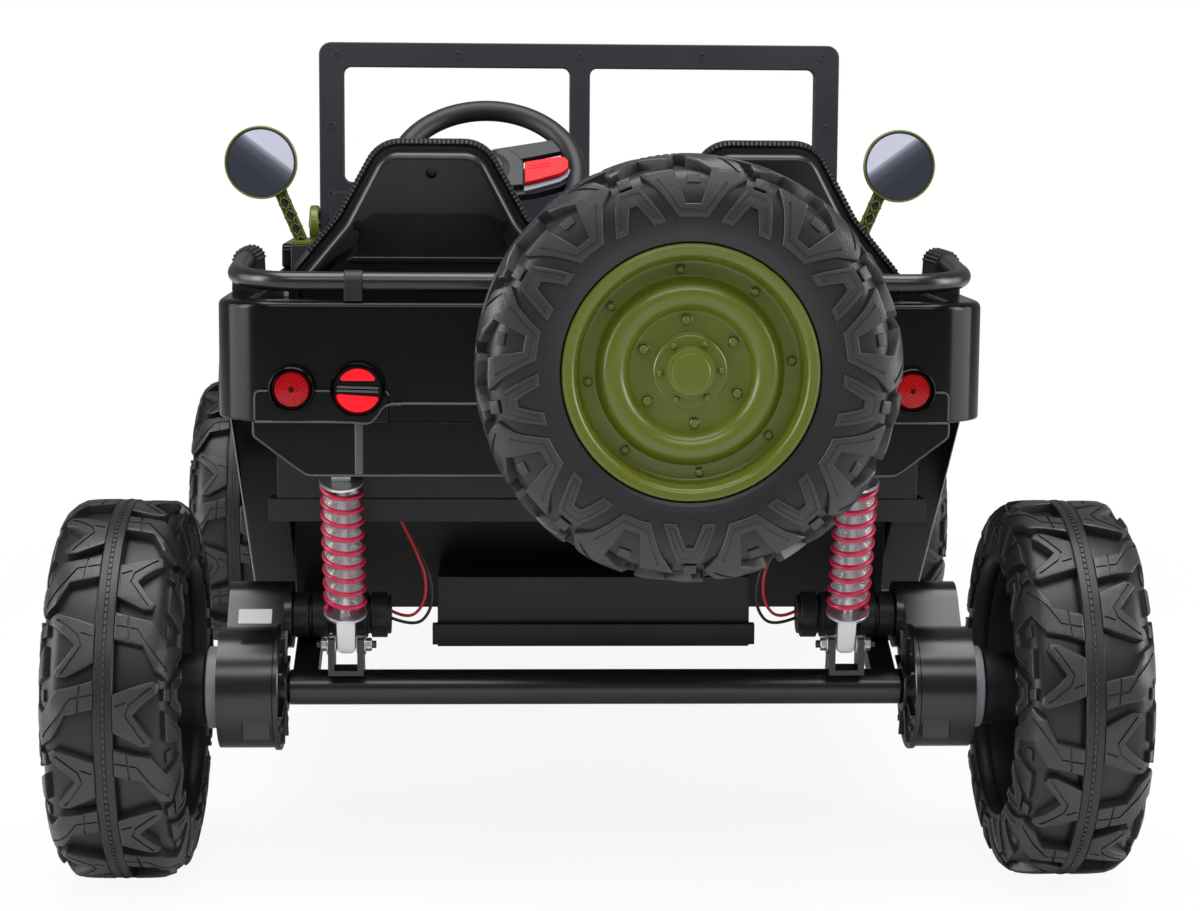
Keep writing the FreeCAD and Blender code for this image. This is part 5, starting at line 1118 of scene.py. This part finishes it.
def make_seat_back():
    """One backrest seen from behind: rounded flanks, a recess with a lip, and screw holes."""
    back = slab("seat_back", "y", SEAT_Y, SEAT_Y + 18, seat_outline(9, 393))
    bevelled(back, 11, 7, below("y", SEAT_Y + 0.1))
    cutters = [slab("recess", "y", SEAT_Y - 6, SEAT_Y + 12, [
        (-62, 491), (62, 491), (53, 526), (-53, 526)], [7, 7, 15, 15])]
    for spot in ((0, 558), (-58, 515.6), (58, 515.6)):
        cutters.append(disc("hole", "y", SEAT_Y - 6, SEAT_Y + 12, spot, 4.5, 24))
    for sense in (-1, 1):
        cutters.append(slab("slit", "y", SEAT_Y - 6, SEAT_Y + 9, [(sense * across, up) for across, up in (
            (62, 499), (68, 496), (80, 488), (95, 473), (88, 472), (75, 485), (64, 493))]))
    eased(carved(back, *cutters), 1.1, 2, 62)
    lip = slab("recess_lip", "y", SEAT_Y - 1.6, SEAT_Y + 3, [
        (-66, 486.5), (66, 486.5), (68, 489), (62.5, 491.2), (-62.5, 491.2), (-68, 489)], [3, 3, 1, 1, 1, 1])
    return joined("seat_back", [back, bevelled(lip, 1.1, 3)])


def make_seat_shells():
    pan = softened("seat_shells", 3)
    carved(pan, moved(block("pan_top", (-260, -460, SEAT_BASE + 6), (260, -330, 620)), SEAT_LEAN))
    back = make_seat_back()
    backs = [copied(back, "seat_back", shift(x=across) @ SEAT_LEAN) for across in (-SEAT_X, SEAT_X)]
    bpy.data.objects.remove(back)
    fitted(joined("bucket_shells", [pan] + backs), shell_black, "seat_shells")


def swollen(piece, cap, rests):
    """Remeshes a pad and lets cloth pressure swell it. rests(vertex) is true where it lies on its shell."""
    finished(piece, "REMESH", mode="VOXEL", voxel_size=5 * MM, adaptivity=0)
    starts = [vertex.co.copy() for vertex in piece.data.vertices]
    limits = [(0.4 if rests(vertex) else cap) * MM for vertex in piece.data.vertices]
    hold(piece)
    cloth = piece.modifiers.new("cloth", "CLOTH")
    cloth.settings.use_pressure = True
    cloth.settings.uniform_pressure_force = 4
    cloth.settings.effector_weights.gravity = 0
    for number in range(1, 21):
        scene.frame_set(number)
    bpy.ops.object.modifier_apply(modifier=cloth.name)
    scene.frame_set(1)
    for vertex, start, limit in zip(piece.data.vertices, starts, limits):
        step = vertex.co - start
        if step.length > limit:
            vertex.co = start + step * (limit / step.length)
    finished(piece, "SUBSURF", levels=1, render_levels=1)


def stitches(outline, along, first, last, gap):
    """Short raised stitches along part of an outline, given as shares of its length."""
    runs = list(zip(outline, outline[1:]))
    total = sum(math.dist(before, after) for before, after in runs)
    pieces, walked, target = [], 0, total * first
    for before, after in runs:
        step = math.dist(before, after)
        angle = math.degrees(math.atan2(after[1] - before[1], after[0] - before[0]))
        while walked + step > target and target < total * last:
            spot = Vector(before).lerp(Vector(after), (target - walked) / step)
            stitch = block("stitch", (-0.8, -1.6, -1.6), (0.8, 1.6, 1.6))
            pieces.append(moved(stitch, shift(spot.x, along, spot.y) @ turned(-angle, "Y")))
            target += gap
        walked += step
    return pieces


def make_seat_pads():
    front = SEAT_Y + SEAT_THICK + 0.6
    back = bevelled(slab("back_pad", "y", front, front + 15, seat_outline(12, 404)), 4, 2)
    swollen(back, 7, lambda vertex: vertex.co.y < (front + 1.2) * MM)
    welt = slab("seat_welt", "y", SEAT_Y + 13.5, SEAT_Y + SEAT_THICK, seat_outline(0.3, 404))
    bevelled(welt, 6.5, 6, lambda edge: edge.calc_length() < 400 * MM and len(edge.link_faces) == 2
             and max(abs(face.normal.y) for face in edge.link_faces) > 0.9)
    sunk_face(welt, lambda face: face.normal.y < -0.9, [(1.2, -4)])
    seams = stitches(seat_outline(1.4, 404), SEAT_Y + 15.6, 0.24, 0.95, 3.6)
    welt = joined("seat_welt", [welt] + seams)
    cushion = slab("seat_cushion", "z", 401, 419, [(-103, -336), (103, -336), (103, -158), (-103, -158)],
                   [16, 16, 30, 30])
    swollen(bevelled(cushion, 5, 2), 8, lambda vertex: vertex.co.z < 402.4 * MM)
    for name, pattern, lean in (("back_pad", back, SEAT_LEAN), ("seat_welt", welt, SEAT_LEAN),
                                ("seat_cushion", cushion, Matrix())):
        for side, across in (("left", -SEAT_X), ("right", SEAT_X)):
            pad = copied(pattern, f"{name}_{side}", shift(x=across) @ lean)
            fitted(pad, pad_skin, None if name == "seat_welt" else "seat_pads", angle=60)
        bpy.data.objects.remove(pattern)


# Gearboxes with ribs, headlamps and grille
GEAR_AT = (0, REAR_AXLE, AXLE_HIGH)


def make_gearboxes():
    pieces = [softened("gearboxes", 2.5)]
    for side in BOTH_SIDES:
        for index in range(8):
            rib = bevelled(block("gear_rib", (246.5, -1.2, 17), (251, 1.2, 46)), 0.5, 1)
            pieces.append(moved(rib, side @ shift(*GEAR_AT) @ turned(45 * index + 20)))
        flange = spun("gear_flange", "x", GEAR_AT, [(249.6, 44), (249.6, 49.4), (250.4, 50), (253.6, 50),
                                                    (254.4, 49.4), (254.4, 44), (249.6, 44)])
        collar = spun("gear_collar", "x", GEAR_AT, [(245, 14.4), (245, 19), (246, 20), (251, 20), (251, 14.4),
                                                    (245, 14.4)], 40)
        tab = bevelled(block("gear_tab", (256, -480.6, 117.5), (278, -468, 134.5)), 0.9, 2)
        parts = [flange, collar, tab]
        for index in range(4):
            bolt = bevelled(disc("gear_bolt", "x", 247.6, 251, (REAR_AXLE, AXLE_HIGH + 42), 3, 6), 0.4, 1)
            parts.append(moved(bolt, about(GEAR_AT, 90 * index + 40, "X")))
        pieces += [moved(piece, side) for piece in parts]
    fitted(joined("gear_housings", pieces), gear_black, "gearboxes")
    label = block("blank_label", (-13, -6.5, 0), (13, 6.5, 0.4))
    fitted(moved(label, shift(-269, -455.6, 211) @ turned(48)), label_white)


def make_headlamps():
    hub = (163, 0, 402)
    ring = spun("lamp_ring", "y", hub, [(630, 27), (630, 32), (638, 32), (642.6, 31), (644, 29.4),
                                        (643.4, 28), (641, 27), (630, 27)])
    glass = spun("lamp_lens", "y", hub, [(632, 27.2), (641, 27.2), (643.4, 24), (645.2, 14), (645.9, 0)])
    fitted_pair("headlamp_rings", ring, zinc)
    fitted_pair("headlamp_lenses", glass, lamp_glass, "headlamps")


def make_grille():
    panel = slab("grille_panel", "y", 618.3, 630, [
        (-205, 238.3), (205, 238.3), (205, 456), (-205, 456)], [2, 2, 24, 24], 10)
    slots = [slab("grille_slot", "y", 610, 640, [
        (across - 6.5, 268), (across + 6.5, 268), (across + 6.5, 432), (across - 6.5, 432)], [5] * 4)
        for across in range(-96, 97, 24)]
    fitted(eased(carved(panel, *slots), 1.4, 3, 62), gloss_black, "grille")


for make in (make_leads, make_tyres, make_rims, make_wheel_backs, make_tub, make_fascia, make_lamps,
             make_windscreen, make_mirrors, make_steering_wheel, make_rail_mounts, make_shocks,
             make_seat_shells, make_seat_pads, make_gearboxes, make_headlamps, make_grille):
    make()

# Plain bodies whose edges only need rounding: the width and the finish, and the body of those that move
ROUNDED = {
    "floor_pan": (1.5, matte_black), "side_panels": (3, gloss_black), "cowl": (2, gloss_black),
    "dashboard": (3, matte_black), "bonnet": (5, gloss_black), "front_fenders": (3, gloss_black),
    "front_bumper": (2, black_metal), "chassis_rails": (2, black_metal), "mirror_posts": (1.2, matte_black),
    "spare_bracket": (1.5, black_metal), "shock_brackets": (0.6, black_metal),
    "battery_box": (2, matte_black), "drive_rings": (1.6, grey_plastic), "motors": (0.8, matte_black),
    "rear_axle": (1, black_metal), "front_axle": (1, black_metal), "steering_column": (1.5, black_metal),
    "knuckle_left": (1.5, black_metal), "knuckle_right": (1.5, black_metal), "tie_rod": (1.5, black_metal)}
MOVING = {"steering_column": "steering", "knuckle_left": "left_knuckle", "knuckle_right": "right_knuckle",
          "tie_rod": "tie_rod"}
for name, (width, material) in ROUNDED.items():
    piece = softened(name, width)
    if name == "chassis_rails":
        carved(piece, block("crank_room", (-116, 194, 200), (-108, 234, 234)))
    fitted(piece, material, name, MOVING.get(name, "chassis"))

# Round rods and coils are shown as they are
for name, material in (("grab_rail", black_metal), ("shock_springs", coil_red)):
    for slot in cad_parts[name].material_slots:
        slot.material = material
